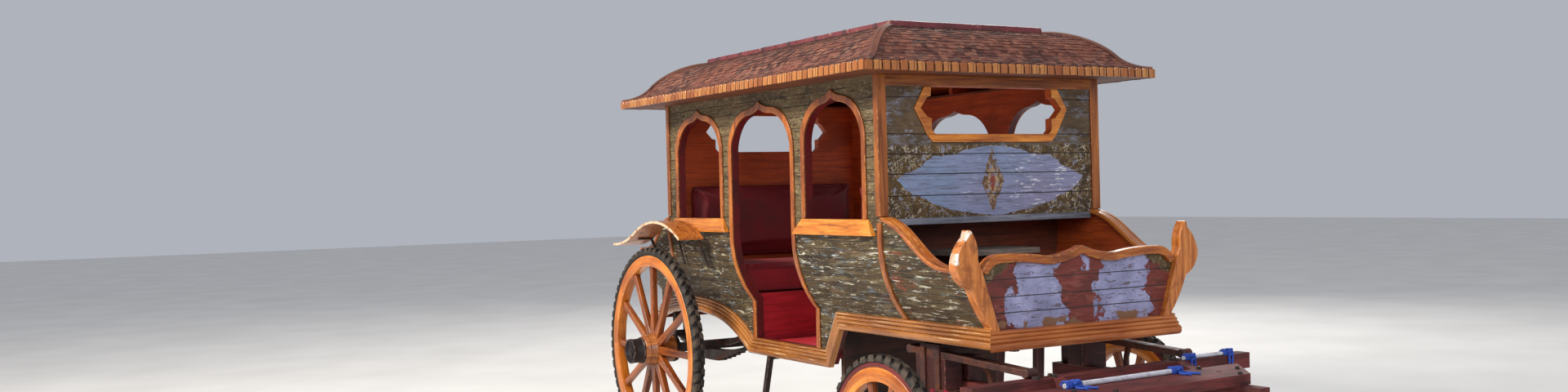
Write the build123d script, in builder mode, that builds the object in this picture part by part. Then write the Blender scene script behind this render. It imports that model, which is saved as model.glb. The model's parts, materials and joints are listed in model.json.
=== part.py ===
from build123d import *
import math
import os

os.makedirs("parts", exist_ok=True)

# ---------------------------------------------------------------- driving dimensions (mm)
# Frame: the coach stands on the ground plane Z = 0 and faces -Y. +X is its left side.
# Y positions below are measured from the outer face of the cabin's front wall.
FRONT_Y = -714.3            # Y of that face in the part's frame

# cabin body
HALF = 650.0                # half width of the upper body
CABIN_LEN = 2178.0
WALL = 40.0                 # thickness of the plank walls
WALL_TOP = 1980.0
SILL_Z = 1331.0             # waist line: window sills, top of the wings
TUMBLE_Z = 1240.0           # the side turns in below this height
TUMBLE_R = 560.0
TUMBLE_CX = HALF - TUMBLE_R
FOOT_Z = 880.0
FOOT = TUMBLE_CX + math.sqrt(TUMBLE_R**2 - (TUMBLE_Z - FOOT_Z)**2)   # half width of the foot
TRIM = 10.0                 # how far the trims stand proud
BAND = 32.0                 # width of the trims round the openings

# driver's box and rear boot
BOX_LEN = 570.0
BOOT_LEN = 420.0
PANEL = 22.0                # dash panel and tailboard

# lower edge of the body, seen from the side (y, z)
EDGE_FRONT_Z = 790.0
EDGE_DROP_Y, EDGE_WELL_Y, EDGE_WELL_Z = 535.0, 640.0, 595.0
EDGE_WELL_END = 1455.0
EDGE_ARCH = ((1640.0, 704.0), (1900.0, 769.0), (2180.0, 782.0))
EDGE_REAR_Z = 702.0
MOULD_H = 85.0

# floors
DECK_Z, DECK_T = 830.0, 25.0          # driver's and rear floor, top face
WELL_Z, WELL_T = 660.0, 25.0          # drop-centre floor, top face

# roof
EAVE_X = 845.0
EAVE_OUT = 195.0            # eaves beyond the front and rear walls
CAP_X = 455.0
CAP_Y0, CAP_Y1 = 163.0, 2030.0
EAVE_Z, RIDGE_Z, ROOF_T = 2018.0, 2216.0, 24.0
CAP_T = 34.0
FASCIA_T = 14.0

# wheels: row of radius, rim radius, rim depth, tyre width, hub radius, spokes, centre y
REAR_AXLE_Y, REAR_R = 2070.0, 583.0
FRONT_AXLE_Y, FRONT_R = -113.0, 376.0
STEER = 3.0                 # the fore-carriage stands a little turned, degrees about +Z
FIT = 0.05                  # radial clearance of shafts in their bores


def fy(v):
    return FRONT_Y + v


def at_y(v):
    """XZ plane at y = v; a negative extrusion runs towards the rear."""
    return Plane.XZ.offset(-fy(v))


def at_x(v):
    return Plane.YZ.offset(v)


def finish(part, name):
    part.label = name
    export_step(part, "parts/" + name + ".step")
    return part


# ---------------------------------------------------------------- shared outlines
def side_arc(o):
    """Tumblehome arc offset outward by o: foot x, foot z and middle point."""
    r = TUMBLE_R + o
    xe = FOOT + o
    dz = math.sqrt(r * r - (xe - TUMBLE_CX)**2)
    a = math.asin(dz / r) / 2
    return xe, TUMBLE_Z - dz, (TUMBLE_CX + r * math.cos(a), TUMBLE_Z - r * math.sin(a))


def side_section(s, a, b, top, bottom):
    """Closed section of one side between the offsets a and b, s = +1 left, -1 right."""
    xa, za, ma = side_arc(a)
    xb, zb, mb = side_arc(b)
    with BuildLine() as outline:
        Line((s * (HALF + a), top), (s * (HALF + b), top))
        Line((s * (HALF + b), top), (s * (HALF + b), TUMBLE_Z))
        ThreePointArc((s * (HALF + b), TUMBLE_Z), (s * mb[0], mb[1]), (s * xb, zb))
        Line((s * xb, zb), (s * xb, bottom))
        Line((s * xb, bottom), (s * xa, bottom))
        Line((s * xa, bottom), (s * xa, za))
        ThreePointArc((s * xa, za), (s * ma[0], ma[1]), (s * (HALF + a), TUMBLE_Z))
        Line((s * (HALF + a), TUMBLE_Z), (s * (HALF + a), top))
    make_face(outline.edges())


def inner_section(top, bottom, inset=WALL):
    """Full cross section inside the walls, between two heights."""
    xa, za, ma = side_arc(-inset)
    z0 = min(max(bottom, za), TUMBLE_Z)
    r = TUMBLE_R - inset
    x0 = TUMBLE_CX + math.sqrt(r * r - (TUMBLE_Z - z0)**2)
    a = math.asin((TUMBLE_Z - z0) / r) / 2
    m = (TUMBLE_CX + r * math.cos(a), TUMBLE_Z - r * math.sin(a))
    w = HALF - inset
    with BuildLine() as outline:
        if bottom < z0:
            Line((-x0, bottom), (x0, bottom))
            Line((x0, bottom), (x0, z0))
        else:
            Line((-x0, z0), (x0, z0))
        ThreePointArc((x0, z0), m, (w, TUMBLE_Z))
        Line((w, TUMBLE_Z), (w, top))
        Line((w, top), (-w, top))
        Line((-w, top), (-w, TUMBLE_Z))
        ThreePointArc((-w, TUMBLE_Z), (-m[0], m[1]), (-x0, z0))
        if bottom < z0:
            Line((-x0, z0), (-x0, bottom))
    make_face(outline.edges())


def body_edge(d, y0, y1, top):
    """Side view of the body above its lower edge, the edge raised by d, cut to y0..y1."""
    with BuildLine() as outline:
        Polyline((fy(-900), top + 400), (fy(-900), EDGE_FRONT_Z), (fy(EDGE_DROP_Y), EDGE_FRONT_Z),
                 (fy(EDGE_WELL_Y), EDGE_WELL_Z), (fy(EDGE_WELL_END), EDGE_WELL_Z))
        ThreePointArc((fy(EDGE_WELL_END), EDGE_WELL_Z),
                      (fy(EDGE_ARCH[0][0]), EDGE_ARCH[0][1]), (fy(EDGE_ARCH[1][0]), EDGE_ARCH[1][1]))
        ThreePointArc((fy(EDGE_ARCH[1][0]), EDGE_ARCH[1][1]),
                      (fy(EDGE_ARCH[2][0]), EDGE_ARCH[2][1]), (fy(2630), EDGE_REAR_Z))
        Polyline((fy(2630), EDGE_REAR_Z), (fy(2900), EDGE_REAR_Z), (fy(2900), top + 400), (fy(-900), top + 400))
    make_face(outline.edges())
    if d:
        offset(amount=-d, kind=Kind.INTERSECTION, mode=Mode.REPLACE)
    with Locations((fy((y0 + y1) / 2), top / 2)):
        Rectangle(y1 - y0, top, mode=Mode.INTERSECT)


# Openings of one side. Columns: name, centre y, half width, spring z, shoulder (dy, z), peak z, bottom z
OPENINGS = (
    ("front_window", 385.0, 252.0, 1700.0, (86.0, 1876.0), 1904.0, SILL_Z),
    ("door", 1082.0, 310.0, 1700.0, (106.0, 1868.0), 1896.0, 680.0),
    ("rear_window", 1784.0, 258.0, 1700.0, (88.0, 1868.0), 1896.0, SILL_Z),
)


def ogee(yc, hw, zs, sh, zp, zb, g):
    """Ogee-headed opening grown by g on the sides and top."""
    c = fy(yc)
    dy, dz = sh[0] + 0.3 * g, sh[1] + g
    mid = (hw + g - 0.19 * hw, zs + 0.64 * (dz - zs))
    with BuildLine() as outline:
        Line((c - hw - g, zb), (c + hw + g, zb))
        Line((c + hw + g, zb), (c + hw + g, zs))
        ThreePointArc((c + hw + g, zs), (c + mid[0], mid[1]), (c + dy, dz))
        ThreePointArc((c + dy, dz), (c + dy * 0.42, dz + 0.36 * (zp + 1.25 * g - dz)), (c, zp + 1.25 * g))
        ThreePointArc((c, zp + 1.25 * g), (c - dy * 0.42, dz + 0.36 * (zp + 1.25 * g - dz)), (c - dy, dz))
        ThreePointArc((c - dy, dz), (c - mid[0], mid[1]), (c - hw - g, zs))
        Line((c - hw - g, zs), (c - hw - g, zb))
    make_face(outline.edges())


# Wings of the driver's box and of the boot: a rounded shoulder, a straight slope and a hollow foot.
# Columns: start y, direction, length, end of the shoulder, end of the slope, end of the foot, angle of the slope
WING_Z, WING_A0 = 1322.0, math.radians(10.0)
WINGS = (
    (0.0, -1, BOX_LEN, 160.0, 270.0, 490.0, math.radians(35.0)),
    (CABIN_LEN, 1, BOOT_LEN, 118.0, 200.0, 360.0, math.radians(42.0)),
)


def wing_curve(row, o):
    """Points of the S-shaped top edge raised by o, from the wall outward."""
    y0, d, length, x1, x2, x3, am = row
    r1 = x1 / (math.sin(am) - math.sin(WING_A0))
    r2 = (x3 - x2) / math.sin(am)
    c1 = (-r1 * math.sin(WING_A0), WING_Z - r1 * math.cos(WING_A0))
    z2 = c1[1] + r1 * math.cos(am) - (x2 - x1) * math.tan(am)
    c2 = (x3, z2 + r2 * math.cos(am))
    mid = (WING_A0 + am) / 2
    pts = [(0.0, WING_Z + o)]
    pts += [(c1[0] + (r1 + o) * math.sin(a), c1[1] + (r1 + o) * math.cos(a)) for a in (WING_A0, mid, am)]
    pts += [(c2[0] - (r2 - o) * math.sin(a), c2[1] - (r2 - o) * math.cos(a)) for a in (am, am / 2, 0.0)]
    pts += [(length, c2[1] - r2 + o)]
    return [(fy(y0 + d * p[0]), p[1]) for p in pts]


def wing_lines(u, o):
    if o > 0:
        Line(u[0], u[1])
    ThreePointArc(u[1], u[2], u[3])
    Line(u[3], u[4])
    ThreePointArc(u[4], u[5], u[6])
    Line(u[6], u[7])


def wing_face(row, low, high):
    """Area between two raised S curves; low None means down to the moulding."""
    u = wing_curve(row, high)
    if high == 0:
        u[0] = u[1]
    with BuildLine() as outline:
        wing_lines(u, high)
        if low is None:
            Polyline(u[7], (u[7][0], 500.0), (u[0][0], 500.0), u[0])
        else:
            w = wing_curve(row, low)
            w[0] = w[1]
            wing_lines(w, low)
            Line(u[7], w[7])
            Line(w[0], u[0])
    make_face(outline.edges())


# ---------------------------------------------------------------- side walls of the cabin
for side, s in (("left", 1), ("right", -1)):
    with BuildPart() as side_wall:
        with BuildSketch(at_y(0)):
            side_section(s, -WALL, 0, WALL_TOP, 500)
        extrude(amount=-CABIN_LEN)
        with BuildSketch(at_x(s * 400)):
            body_edge(12, 0, CABIN_LEN, WALL_TOP)
        extrude(amount=s * 300, mode=Mode.INTERSECT)
        for name, yc, hw, zs, sh, zp, zb in OPENINGS:
            with BuildSketch(at_x(s * 400)):
                ogee(yc, hw, zs, sh, zp, zb, 0)
            extrude(amount=s * 300, mode=Mode.SUBTRACT)
    finish(side_wall.part, "side_wall_" + side)

# ---------------------------------------------------------------- sides of the driver's box and of the boot
for node, row, y0, y1 in (("driver_box_sides", WINGS[0], -BOX_LEN + PANEL, 0.0),
                          ("boot_sides", WINGS[1], CABIN_LEN, CABIN_LEN + BOOT_LEN)):
    with BuildPart() as wing_sides:
        for s in (1, -1):
            with BuildSketch(at_y(y0)):
                side_section(s, -WALL, 0, SILL_Z, 500)
            extrude(amount=-(y1 - y0))
        with BuildSketch(at_x(-700)):
            wing_face(row, None, 0)
        extrude(amount=1400, mode=Mode.INTERSECT)
        with BuildSketch(at_x(-700)):
            body_edge(12, y0, y1, WALL_TOP)
        extrude(amount=1400, mode=Mode.INTERSECT)
    finish(wing_sides.part, node)

# rails along the tops of the wings
RAIL_IN, RAIL_OUT, RAIL_T = 590.0, 658.0, 20.0
with BuildPart() as wing_rails:
    for s in (1, -1):
        for row in WINGS:
            with BuildSketch(at_x(s * RAIL_IN)):
                wing_face(row, 0, RAIL_T)
            extrude(amount=s * (RAIL_OUT - RAIL_IN))
    # the rails stop at the back of the horn finials
    with Locations((0, fy(-BOX_LEN), 1100)):
        Box(1400, 2 * PANEL, 200, mode=Mode.SUBTRACT)
finish(wing_rails.part, "wing_rails")

# ---------------------------------------------------------------- end walls with their cartouche windows
# half outline of the window, inside edge and frame edge (x, z)
WIN_IN = ((339.0, 1712.0), (359.0, 1732.0), (359.0, 1786.0), (382.0, 1790.0), (420.0, 1830.0),
          (382.0, 1880.0), (362.0, 1886.0), (359.0, 1930.0))
WIN_OUT = ((352.0, 1674.0), (385.0, 1706.0), (455.0, 1830.0), (396.0, 1930.0))
WIN_CUT_TOP = 1930.0


def half_outline(pts):
    path = [(0.0, pts[0][1])] + list(pts) + [(0.0, pts[-1][1])]
    return path + [(-x, z) for x, z in reversed(path[1:-1])]


FRONT_WALL_Z = 1330.0
with BuildPart() as front_wall:
    with BuildSketch(at_y(0)):
        with Locations((0, (WALL_TOP + FRONT_WALL_Z) / 2)):
            Rectangle(2 * (HALF - WALL), WALL_TOP - FRONT_WALL_Z)
        Polygon(*half_outline(WIN_IN), align=None, mode=Mode.SUBTRACT)
    extrude(amount=-WALL)
finish(front_wall.part, "front_wall")

with BuildPart() as rear_wall:
    with BuildSketch(at_y(CABIN_LEN - WALL)):
        inner_section(WALL_TOP, DECK_Z)
        Polygon(*half_outline(WIN_IN), align=None, mode=Mode.SUBTRACT)
    extrude(amount=-WALL)
finish(rear_wall.part, "rear_wall")

with BuildPart() as window_frames:
    for y0 in (-TRIM, CABIN_LEN):
        with BuildSketch(at_y(y0)):
            Polygon(*half_outline(WIN_OUT), align=None)
            Polygon(*half_outline(WIN_IN), align=None, mode=Mode.SUBTRACT)
            # the head of the opening runs under the top rail
            with Locations((0, WIN_CUT_TOP)):
                Rectangle(2 * 359.0, 20.0, mode=Mode.SUBTRACT)
        extrude(amount=-TRIM)
finish(window_frames.part, "window_frames")

# rails along the head of both end walls, and the grey weather bar under the front wall
with BuildPart() as top_rails:
    for y0 in (-TRIM, CABIN_LEN):
        with BuildSketch(at_y(y0)):
            with Locations((0, 1955)):
                Rectangle(2 * (HALF - WALL), 50)
        extrude(amount=-TRIM)
finish(top_rails.part, "top_rails")

with BuildPart() as weather_bar:
    with BuildSketch(at_x(-(HALF - WALL) + 4)):
        Polygon((fy(-14), FRONT_WALL_Z - 30), (fy(0), FRONT_WALL_Z - 30), (fy(0), FRONT_WALL_Z), (fy(-10), FRONT_WALL_Z), align=None)
        with Locations((fy(20), FRONT_WALL_Z - 15)):
            Rectangle(40, 30)
    extrude(amount=2 * (HALF - WALL) - 8)
    # the lip stops at the rails of the wings
    for s in (1, -1):
        with Locations((s * 600, fy(-8), FRONT_WALL_Z - 15)):
            Box(21, 16, 32, mode=Mode.SUBTRACT)
finish(weather_bar.part, "weather_bar")

# ---------------------------------------------------------------- corner posts and the curved strips below them
with BuildPart() as corner_posts:
    for s in (1, -1):
        for y0, d in ((0.0, 1), (CABIN_LEN, -1)):
            with BuildSketch(Plane.XY.offset(WING_Z + RAIL_T + 1)):
                with BuildLine():
                    Polyline((s * (HALF - 40), fy(y0)), (s * HALF, fy(y0)), (s * HALF, fy(y0 + d * 26)),
                             (s * (HALF + TRIM), fy(y0 + d * 26)), (s * (HALF + TRIM), fy(y0 - d * TRIM)),
                             (s * (HALF - 40), fy(y0 - d * TRIM)), (s * (HALF - 40), fy(y0)))
                make_face()
            extrude(amount=WALL_TOP - WING_Z - RAIL_T - 1)
finish(corner_posts.part, "corner_posts")

with BuildPart() as side_strips:
    for s in (1, -1):
        for y0 in (-16.0, CABIN_LEN - 16.0):
            with BuildSketch(at_y(y0)):
                side_section(s, 0, TRIM, WING_Z - 8, 875.8)
            extrude(amount=-32)
finish(side_strips.part, "side_strips")

# ---------------------------------------------------------------- trims round the side openings
with BuildPart() as arch_trims:
    for s in (1, -1):
        for name, yc, hw, zs, sh, zp, zb in OPENINGS:
            with BuildSketch(at_x(s * 450)):
                ogee(yc, hw, zs, sh, zp, zb, BAND)
            extrude(amount=s * 230)
    for s in (1, -1):
        for name, yc, hw, zs, sh, zp, zb in OPENINGS:
            with BuildSketch(at_x(s * 450)):
                ogee(yc, hw, zs, sh, zp, zb - 1, 0)
            extrude(amount=s * 230, mode=Mode.SUBTRACT)
    with BuildSketch(at_y(0)):
        for s in (1, -1):
            side_section(s, 0, TRIM, WALL_TOP, 500)
    extrude(amount=-CABIN_LEN, mode=Mode.INTERSECT)
finish(arch_trims.part, "arch_trims")

# ---------------------------------------------------------------- flared sill boards under the windows
SILL_H, SILL_OUT = 76.0, 32.0
with BuildPart() as window_sills:
    for s in (1, -1):
        for y0, y1 in ((20.0, 736.0), (1428.0, 2158.0)):
            with BuildSketch(at_y(y0)):
                Polygon((s * HALF, SILL_Z), (s * (HALF + TRIM), SILL_Z - 2), (s * (HALF + SILL_OUT), SILL_Z - SILL_H + 14),
                        (s * (HALF + SILL_OUT), SILL_Z - SILL_H), (s * HALF, SILL_Z - SILL_H), align=None)
            extrude(amount=-(y1 - y0))
    # the ends are cut back towards the top
    with BuildSketch(at_x(-700)):
        for y0, y1 in ((20.0, 736.0), (1428.0, 2158.0)):
            Polygon((fy(y0 + 10), SILL_Z - SILL_H - 1), (fy(y1 - 4), SILL_Z - SILL_H - 1),
                    (fy(y1 - 64), SILL_Z + 1), (fy(y0 + 70), SILL_Z + 1), align=None)
    extrude(amount=1400, mode=Mode.INTERSECT)
finish(window_sills.part, "window_sills")

# ---------------------------------------------------------------- stepped base moulding round the body
# Columns: lower edge, upper edge above the body's edge, how far it stands proud
REEDS = ((0.0, 28.0, 30.0), (28.0, 56.0, 22.0), (56.0, MOULD_H, 14.0))
# The front length is thicker and sits a little lower than the sides
FRONT_THICK, FRONT_LOW = 25.0, 10.0
with BuildPart() as base_moulding:
    for d0, d1, proud in REEDS:
        for s in (1, -1):
            with BuildSketch(at_x(s * FOOT)) as reed:
                body_edge(d0, -BOX_LEN - FRONT_THICK - proud, CABIN_LEN + BOOT_LEN + proud, 1100)
                with BuildSketch(mode=Mode.PRIVATE) as above:
                    body_edge(d1, -BOX_LEN - FRONT_THICK - proud - 10, CABIN_LEN + BOOT_LEN + proud + 10, 1110)
                add(above.sketch, mode=Mode.SUBTRACT)
            extrude(amount=s * proud)
        for y0, thick, zc in ((-BOX_LEN - FRONT_THICK - proud, FRONT_THICK + proud, EDGE_FRONT_Z - FRONT_LOW),
                              (CABIN_LEN + BOOT_LEN, proud, EDGE_REAR_Z + 2)):
            with Locations((0, fy(y0 + thick / 2), zc + (d0 + d1) / 2)):
                Box(2 * FOOT + 2, thick, d1 - d0)
finish(base_moulding.part, "base_moulding")

# ---------------------------------------------------------------- dash panel, its rail and the horn finials
POST_IN = (472.0, 862.0)
NECK = (556.0, 1111.0)
RAIL_TOP = (NECK, (518.0, 1160.0), (440.0, 1182.0), (330.0, 1180.0), (200.0, 1165.0), (95.0, 1174.0), (0.0, 1203.0))


def dash_outline(lower):
    """Closed outline of the dash rail (lower = its thickness) or of the panel below it."""
    p = RAIL_TOP
    q = [(x, z - 38.0) for x, z in p]
    q[0] = (p[0][0] - 34.0, p[0][1] - 12.0)
    with BuildLine() as outline:
        if lower:
            for s in (1, -1):
                ThreePointArc(*[(s * a, b) for a, b in (p[0], p[1], p[2])])
                ThreePointArc(*[(s * a, b) for a, b in (p[2], p[3], p[4])])
                ThreePointArc(*[(s * a, b) for a, b in (p[4], p[5], p[6])])
                Line((s * p[0][0], p[0][1]), (s * q[0][0], q[0][1]))
                ThreePointArc(*[(s * a, b) for a, b in (q[0], (q[1][0] - 14, q[1][1]), q[2])])
                ThreePointArc(*[(s * a, b) for a, b in (q[2], q[3], q[4])])
                ThreePointArc(*[(s * a, b) for a, b in (q[4], q[5], q[6])])
        else:
            Line((-POST_IN[0], POST_IN[1]), (POST_IN[0], POST_IN[1]))
            for s in (1, -1):
                Line((s * POST_IN[0], POST_IN[1]), (s * NECK[0], NECK[1]))
                Line((s * p[0][0], p[0][1]), (s * q[0][0], q[0][1]))
                ThreePointArc(*[(s * a, b) for a, b in (q[0], (q[1][0] - 14, q[1][1]), q[2])])
                ThreePointArc(*[(s * a, b) for a, b in (q[2], q[3], q[4])])
                ThreePointArc(*[(s * a, b) for a, b in (q[4], q[5], q[6])])
    make_face(outline.edges())


with BuildPart() as dash_panel:
    with BuildSketch(at_y(-BOX_LEN)):
        dash_outline(False)
    extrude(amount=-PANEL)
finish(dash_panel.part, "dash_panel")

with BuildPart() as dash_rail:
    with BuildSketch(at_y(-BOX_LEN - 22)):
        dash_outline(True)
    extrude(amount=-50)
finish(dash_rail.part, "dash_rail")

HORN_OUT = ((614.0, 1042.0), (668.0, 1080.0), (694.0, 1138.0), (676.0, 1202.0), (631.0, 1258.0))
HORN_TIP = (622.0, 1288.0)
HORN_IN = ((612.0, 1286.0), (585.0, 1236.0), (578.0, 1166.0), NECK)
HORN_Y0, HORN_T = -BOX_LEN - 26.0, 48.0
with BuildPart() as horn_finials:
    xf, zf, mf = side_arc(0)
    for s in (1, -1):
        with BuildSketch(at_y(HORN_Y0)):
            with BuildLine():
                Line((s * POST_IN[0], POST_IN[1]), (s * xf, POST_IN[1]))
                Line((s * xf, POST_IN[1]), (s * xf, zf))
                ThreePointArc((s * xf, zf), (s * 572.0, 956.0), (s * HORN_OUT[0][0], HORN_OUT[0][1]))
                ThreePointArc(*[(s * a, b) for a, b in HORN_OUT[0:3]])
                ThreePointArc(*[(s * a, b) for a, b in HORN_OUT[2:5]])
                Polyline(*[(s * a, b) for a, b in (HORN_OUT[4], HORN_TIP, HORN_IN[0])])
                ThreePointArc(*[(s * a, b) for a, b in HORN_IN[0:3]])
                Polyline(*[(s * a, b) for a, b in (HORN_IN[2], NECK, POST_IN)])
            make_face()
        extrude(amount=-HORN_T)
    # the post stands on the base moulding
    with Locations((0, fy(-BOX_LEN - 40), 862.0)):
        Box(1400, 80, 26.0, mode=Mode.SUBTRACT)
finish(horn_finials.part, "horn_finials")

# ---------------------------------------------------------------- tailboard of the boot
with BuildPart() as tailboard:
    with BuildSketch(at_y(CABIN_LEN + BOOT_LEN - PANEL)):
        inner_section(SILL_Z, EDGE_REAR_Z + 12)
        with Locations((0, SILL_Z)):
            Rectangle(1400, 2 * (SILL_Z - wing_curve(WINGS[1], 0)[7][1]), mode=Mode.SUBTRACT)
    extrude(amount=-PANEL)
finish(tailboard.part, "tailboard")

# ---------------------------------------------------------------- floors and bulkheads
IN_FOOT = side_arc(-WALL)[0]
BULK_F, BULK_R, BULK_T = 600.0, 1475.0, 25.0
# Columns: node, front y, rear y, top z
for node, y0, y1, zt, th in (("driver_floor", -BOX_LEN + PANEL, BULK_F, DECK_Z, DECK_T),
                             ("well_floor", BULK_F + BULK_T, BULK_R, WELL_Z, WELL_T),
                             ("rear_floor", BULK_R + BULK_T, CABIN_LEN + BOOT_LEN - PANEL, DECK_Z, DECK_T)):
    with BuildPart() as floor:
        with BuildSketch(Plane.XY.offset(zt - th)):
            with Locations((0, fy((y0 + y1) / 2))):
                Rectangle(2 * IN_FOOT, y1 - y0)
        extrude(amount=th)
    finish(floor.part, node)

with BuildPart() as bulkheads:
    for y0, z0 in ((BULK_F, 420.0), (BULK_R, WELL_Z - WELL_T)):
        with BuildSketch(Plane.XY.offset(z0)):
            with Locations((0, fy(y0 + BULK_T / 2))):
                Rectangle(2 * IN_FOOT, BULK_T)
        extrude(amount=DECK_Z - z0)
finish(bulkheads.part, "bulkheads")

# panel behind the driver, with the shelf over it, and the driver's seat
RECESS = 250.0
with BuildPart() as driver_backboard:
    with BuildSketch(at_y(RECESS)):
        inner_section(FRONT_WALL_Z, DECK_Z)
    extrude(amount=-20)
    with Locations((0, fy(WALL + (RECESS - WALL) / 2), FRONT_WALL_Z - 12.0)):
        Box(2 * (HALF - WALL), RECESS - WALL, 24.0)
finish(driver_backboard.part, "driver_backboard")

SEAT_X = 230.0
with BuildPart() as driver_seat:
    with Locations((0, fy(100), 1158.0)):
        Box(2 * SEAT_X, 300, 28)
    with Locations((0, fy(140), (DECK_Z + 1144.0) / 2)):
        Box(2 * SEAT_X - 60, 200, 1144.0 - DECK_Z)
finish(driver_seat.part, "driver_seat")

# ---------------------------------------------------------------- passenger benches and their cushions
SEAT_Z, CUSHION_T = 915.0, 150.0
with BuildPart() as benches:
    with BuildSketch(at_x(-IN_FOOT)):
        Polygon((fy(BULK_R - 20), WELL_Z), (fy(BULK_R), WELL_Z), (fy(BULK_R), SEAT_Z - 20),
                (fy(CABIN_LEN - WALL), SEAT_Z - 20), (fy(CABIN_LEN - WALL), SEAT_Z), (fy(BULK_R - 20), SEAT_Z),
                align=None)
        Polygon((fy(BULK_F + BULK_T + 20), WELL_Z), (fy(BULK_F + BULK_T), WELL_Z), (fy(BULK_F + BULK_T), SEAT_Z - 20),
                (fy(RECESS + 20), SEAT_Z - 20), (fy(RECESS + 20), SEAT_Z), (fy(BULK_F + BULK_T + 20), SEAT_Z),
                align=None)
    extrude(amount=2 * IN_FOOT)
finish(benches.part, "benches")

# Columns: node, front y, rear y, bottom z, top z, half width at the bottom and at the top
CUSHIONS = (
    ("rear_seat_cushion", BULK_R - 12, 2040.0, SEAT_Z + 3, SEAT_Z + 3 + CUSHION_T, 486.0, 560.0),
    ("rear_seat_back", 2046.0, 2132.0, SEAT_Z + 9 + CUSHION_T, 1530.0, 552.0, 552.0),
    ("front_seat_cushion", 360.0, BULK_F + BULK_T + 12, SEAT_Z + 3, SEAT_Z + 3 + CUSHION_T, 486.0, 560.0),
    ("front_seat_back", RECESS + 26, 354.0, SEAT_Z + 9 + CUSHION_T, 1500.0, 552.0, 552.0),
)
for node, y0, y1, z0, z1, w0, w1 in CUSHIONS:
    with BuildPart() as cushion:
        with BuildSketch(at_y(y0)):
            Polygon((-w0, z0), (w0, z0), (w1, z1), (-w1, z1), align=None)
        extrude(amount=-(y1 - y0))
    finish(cushion.part, node)

# ---------------------------------------------------------------- roof
CURVE = ((0.0, 0.0), (75.0, 21.0), (140.0, 82.0), (238.0, 158.0), (390.0, RIDGE_Z - EAVE_Z))


def roof_profile(e0, e1, c0, c1, drop, grow):
    """Cross section of the roof from eave e0 to eave e1, flat between c0 and c1."""
    k0, k1 = (c0 - e0) / 390.0, (e1 - c1) / 390.0
    a = [(e0 + k0 * d, EAVE_Z - drop + z) for d, z in CURVE]
    b = [(e1 - k1 * d, EAVE_Z - drop + z) for d, z in CURVE]
    with BuildLine() as outline:
        Polyline((e0, EAVE_Z - ROOF_T - grow), (e1, EAVE_Z - ROOF_T - grow), b[0])
        ThreePointArc(b[0], b[1], b[2])
        ThreePointArc(b[2], b[3], b[4])
        Line(b[4], a[4])
        ThreePointArc(a[4], a[3], a[2])
        ThreePointArc(a[2], a[1], a[0])
        Line(a[0], (e0, EAVE_Z - ROOF_T - grow))
    make_face(outline.edges())


Y0, Y1 = -EAVE_OUT, CABIN_LEN + EAVE_OUT
with BuildPart() as roof_inner:
    with BuildSketch(at_y(Y0 - 10)):
        roof_profile(-EAVE_X, EAVE_X, -CAP_X, CAP_X, ROOF_T, 5.0)
    extrude(amount=-(Y1 - Y0 + 20))
    with BuildSketch(at_x(-EAVE_X - 10)):
        roof_profile(fy(Y0), fy(Y1), fy(CAP_Y0), fy(CAP_Y1), ROOF_T, 5.0)
    extrude(amount=2 * EAVE_X + 20, mode=Mode.INTERSECT)

with BuildPart() as roof_shell:
    with BuildSketch(at_y(Y0)):
        roof_profile(-EAVE_X, EAVE_X, -CAP_X, CAP_X, 0.0, 0.0)
    extrude(amount=-(Y1 - Y0))
    with BuildSketch(at_x(-EAVE_X)):
        roof_profile(fy(Y0), fy(Y1), fy(CAP_Y0), fy(CAP_Y1), 0.0, 0.0)
    extrude(amount=2 * EAVE_X, mode=Mode.INTERSECT)
    add(roof_inner.part, mode=Mode.SUBTRACT)
finish(roof_shell.part, "roof_shell")

with BuildPart() as roof_cap:
    with BuildSketch(Plane.XY.offset(RIDGE_Z)):
        with Locations((0, fy((CAP_Y0 + CAP_Y1) / 2))):
            Rectangle(2 * CAP_X, CAP_Y1 - CAP_Y0)
    extrude(amount=CAP_T)
finish(roof_cap.part, "roof_cap")

with BuildPart() as eaves_fascia:
    with BuildSketch(Plane.XY.offset(1977.0)):
        with Locations((0, fy(CABIN_LEN / 2))):
            Rectangle(2 * (EAVE_X + FASCIA_T), CABIN_LEN + 2 * (EAVE_OUT + FASCIA_T))
            Rectangle(2 * EAVE_X, CABIN_LEN + 2 * EAVE_OUT, mode=Mode.SUBTRACT)
    extrude(amount=42.0)
finish(eaves_fascia.part, "eaves_fascia")

with BuildPart() as eaves_soffit:
    with BuildSketch(Plane.XY.offset(WALL_TOP)):
        with Locations((0, fy(CABIN_LEN / 2))):
            Rectangle(2 * EAVE_X, CABIN_LEN + 2 * EAVE_OUT)
            Rectangle(2 * (HALF - WALL), CABIN_LEN - 2 * WALL, mode=Mode.SUBTRACT)
    extrude(amount=12.0)
finish(eaves_soffit.part, "eaves_soffit")

RIB_T = 30.0
with BuildPart() as roof_ribs:
    for i in range(5):
        yr = 185.0 + i * 452.0
        with BuildSketch(at_y(yr - RIB_T / 2)):
            roof_profile(-EAVE_X, EAVE_X, -CAP_X, CAP_X, ROOF_T, 4.0)
            with Locations((0, EAVE_Z - ROOF_T - 10)):
                Rectangle(2 * EAVE_X + 10, 16.0, mode=Mode.SUBTRACT)
            Polygon((-590, 1960), (590, 1960), (590, 2040), (430, 2126), (-430, 2126), (-590, 2040),
                    align=None, mode=Mode.SUBTRACT)
            for s in (1, -1):
                with Locations((s * (EAVE_X - 60), 2000)):
                    Rectangle(140, 200, mode=Mode.SUBTRACT)
        extrude(amount=-RIB_T)
finish(roof_ribs.part, "roof_ribs")

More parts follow.
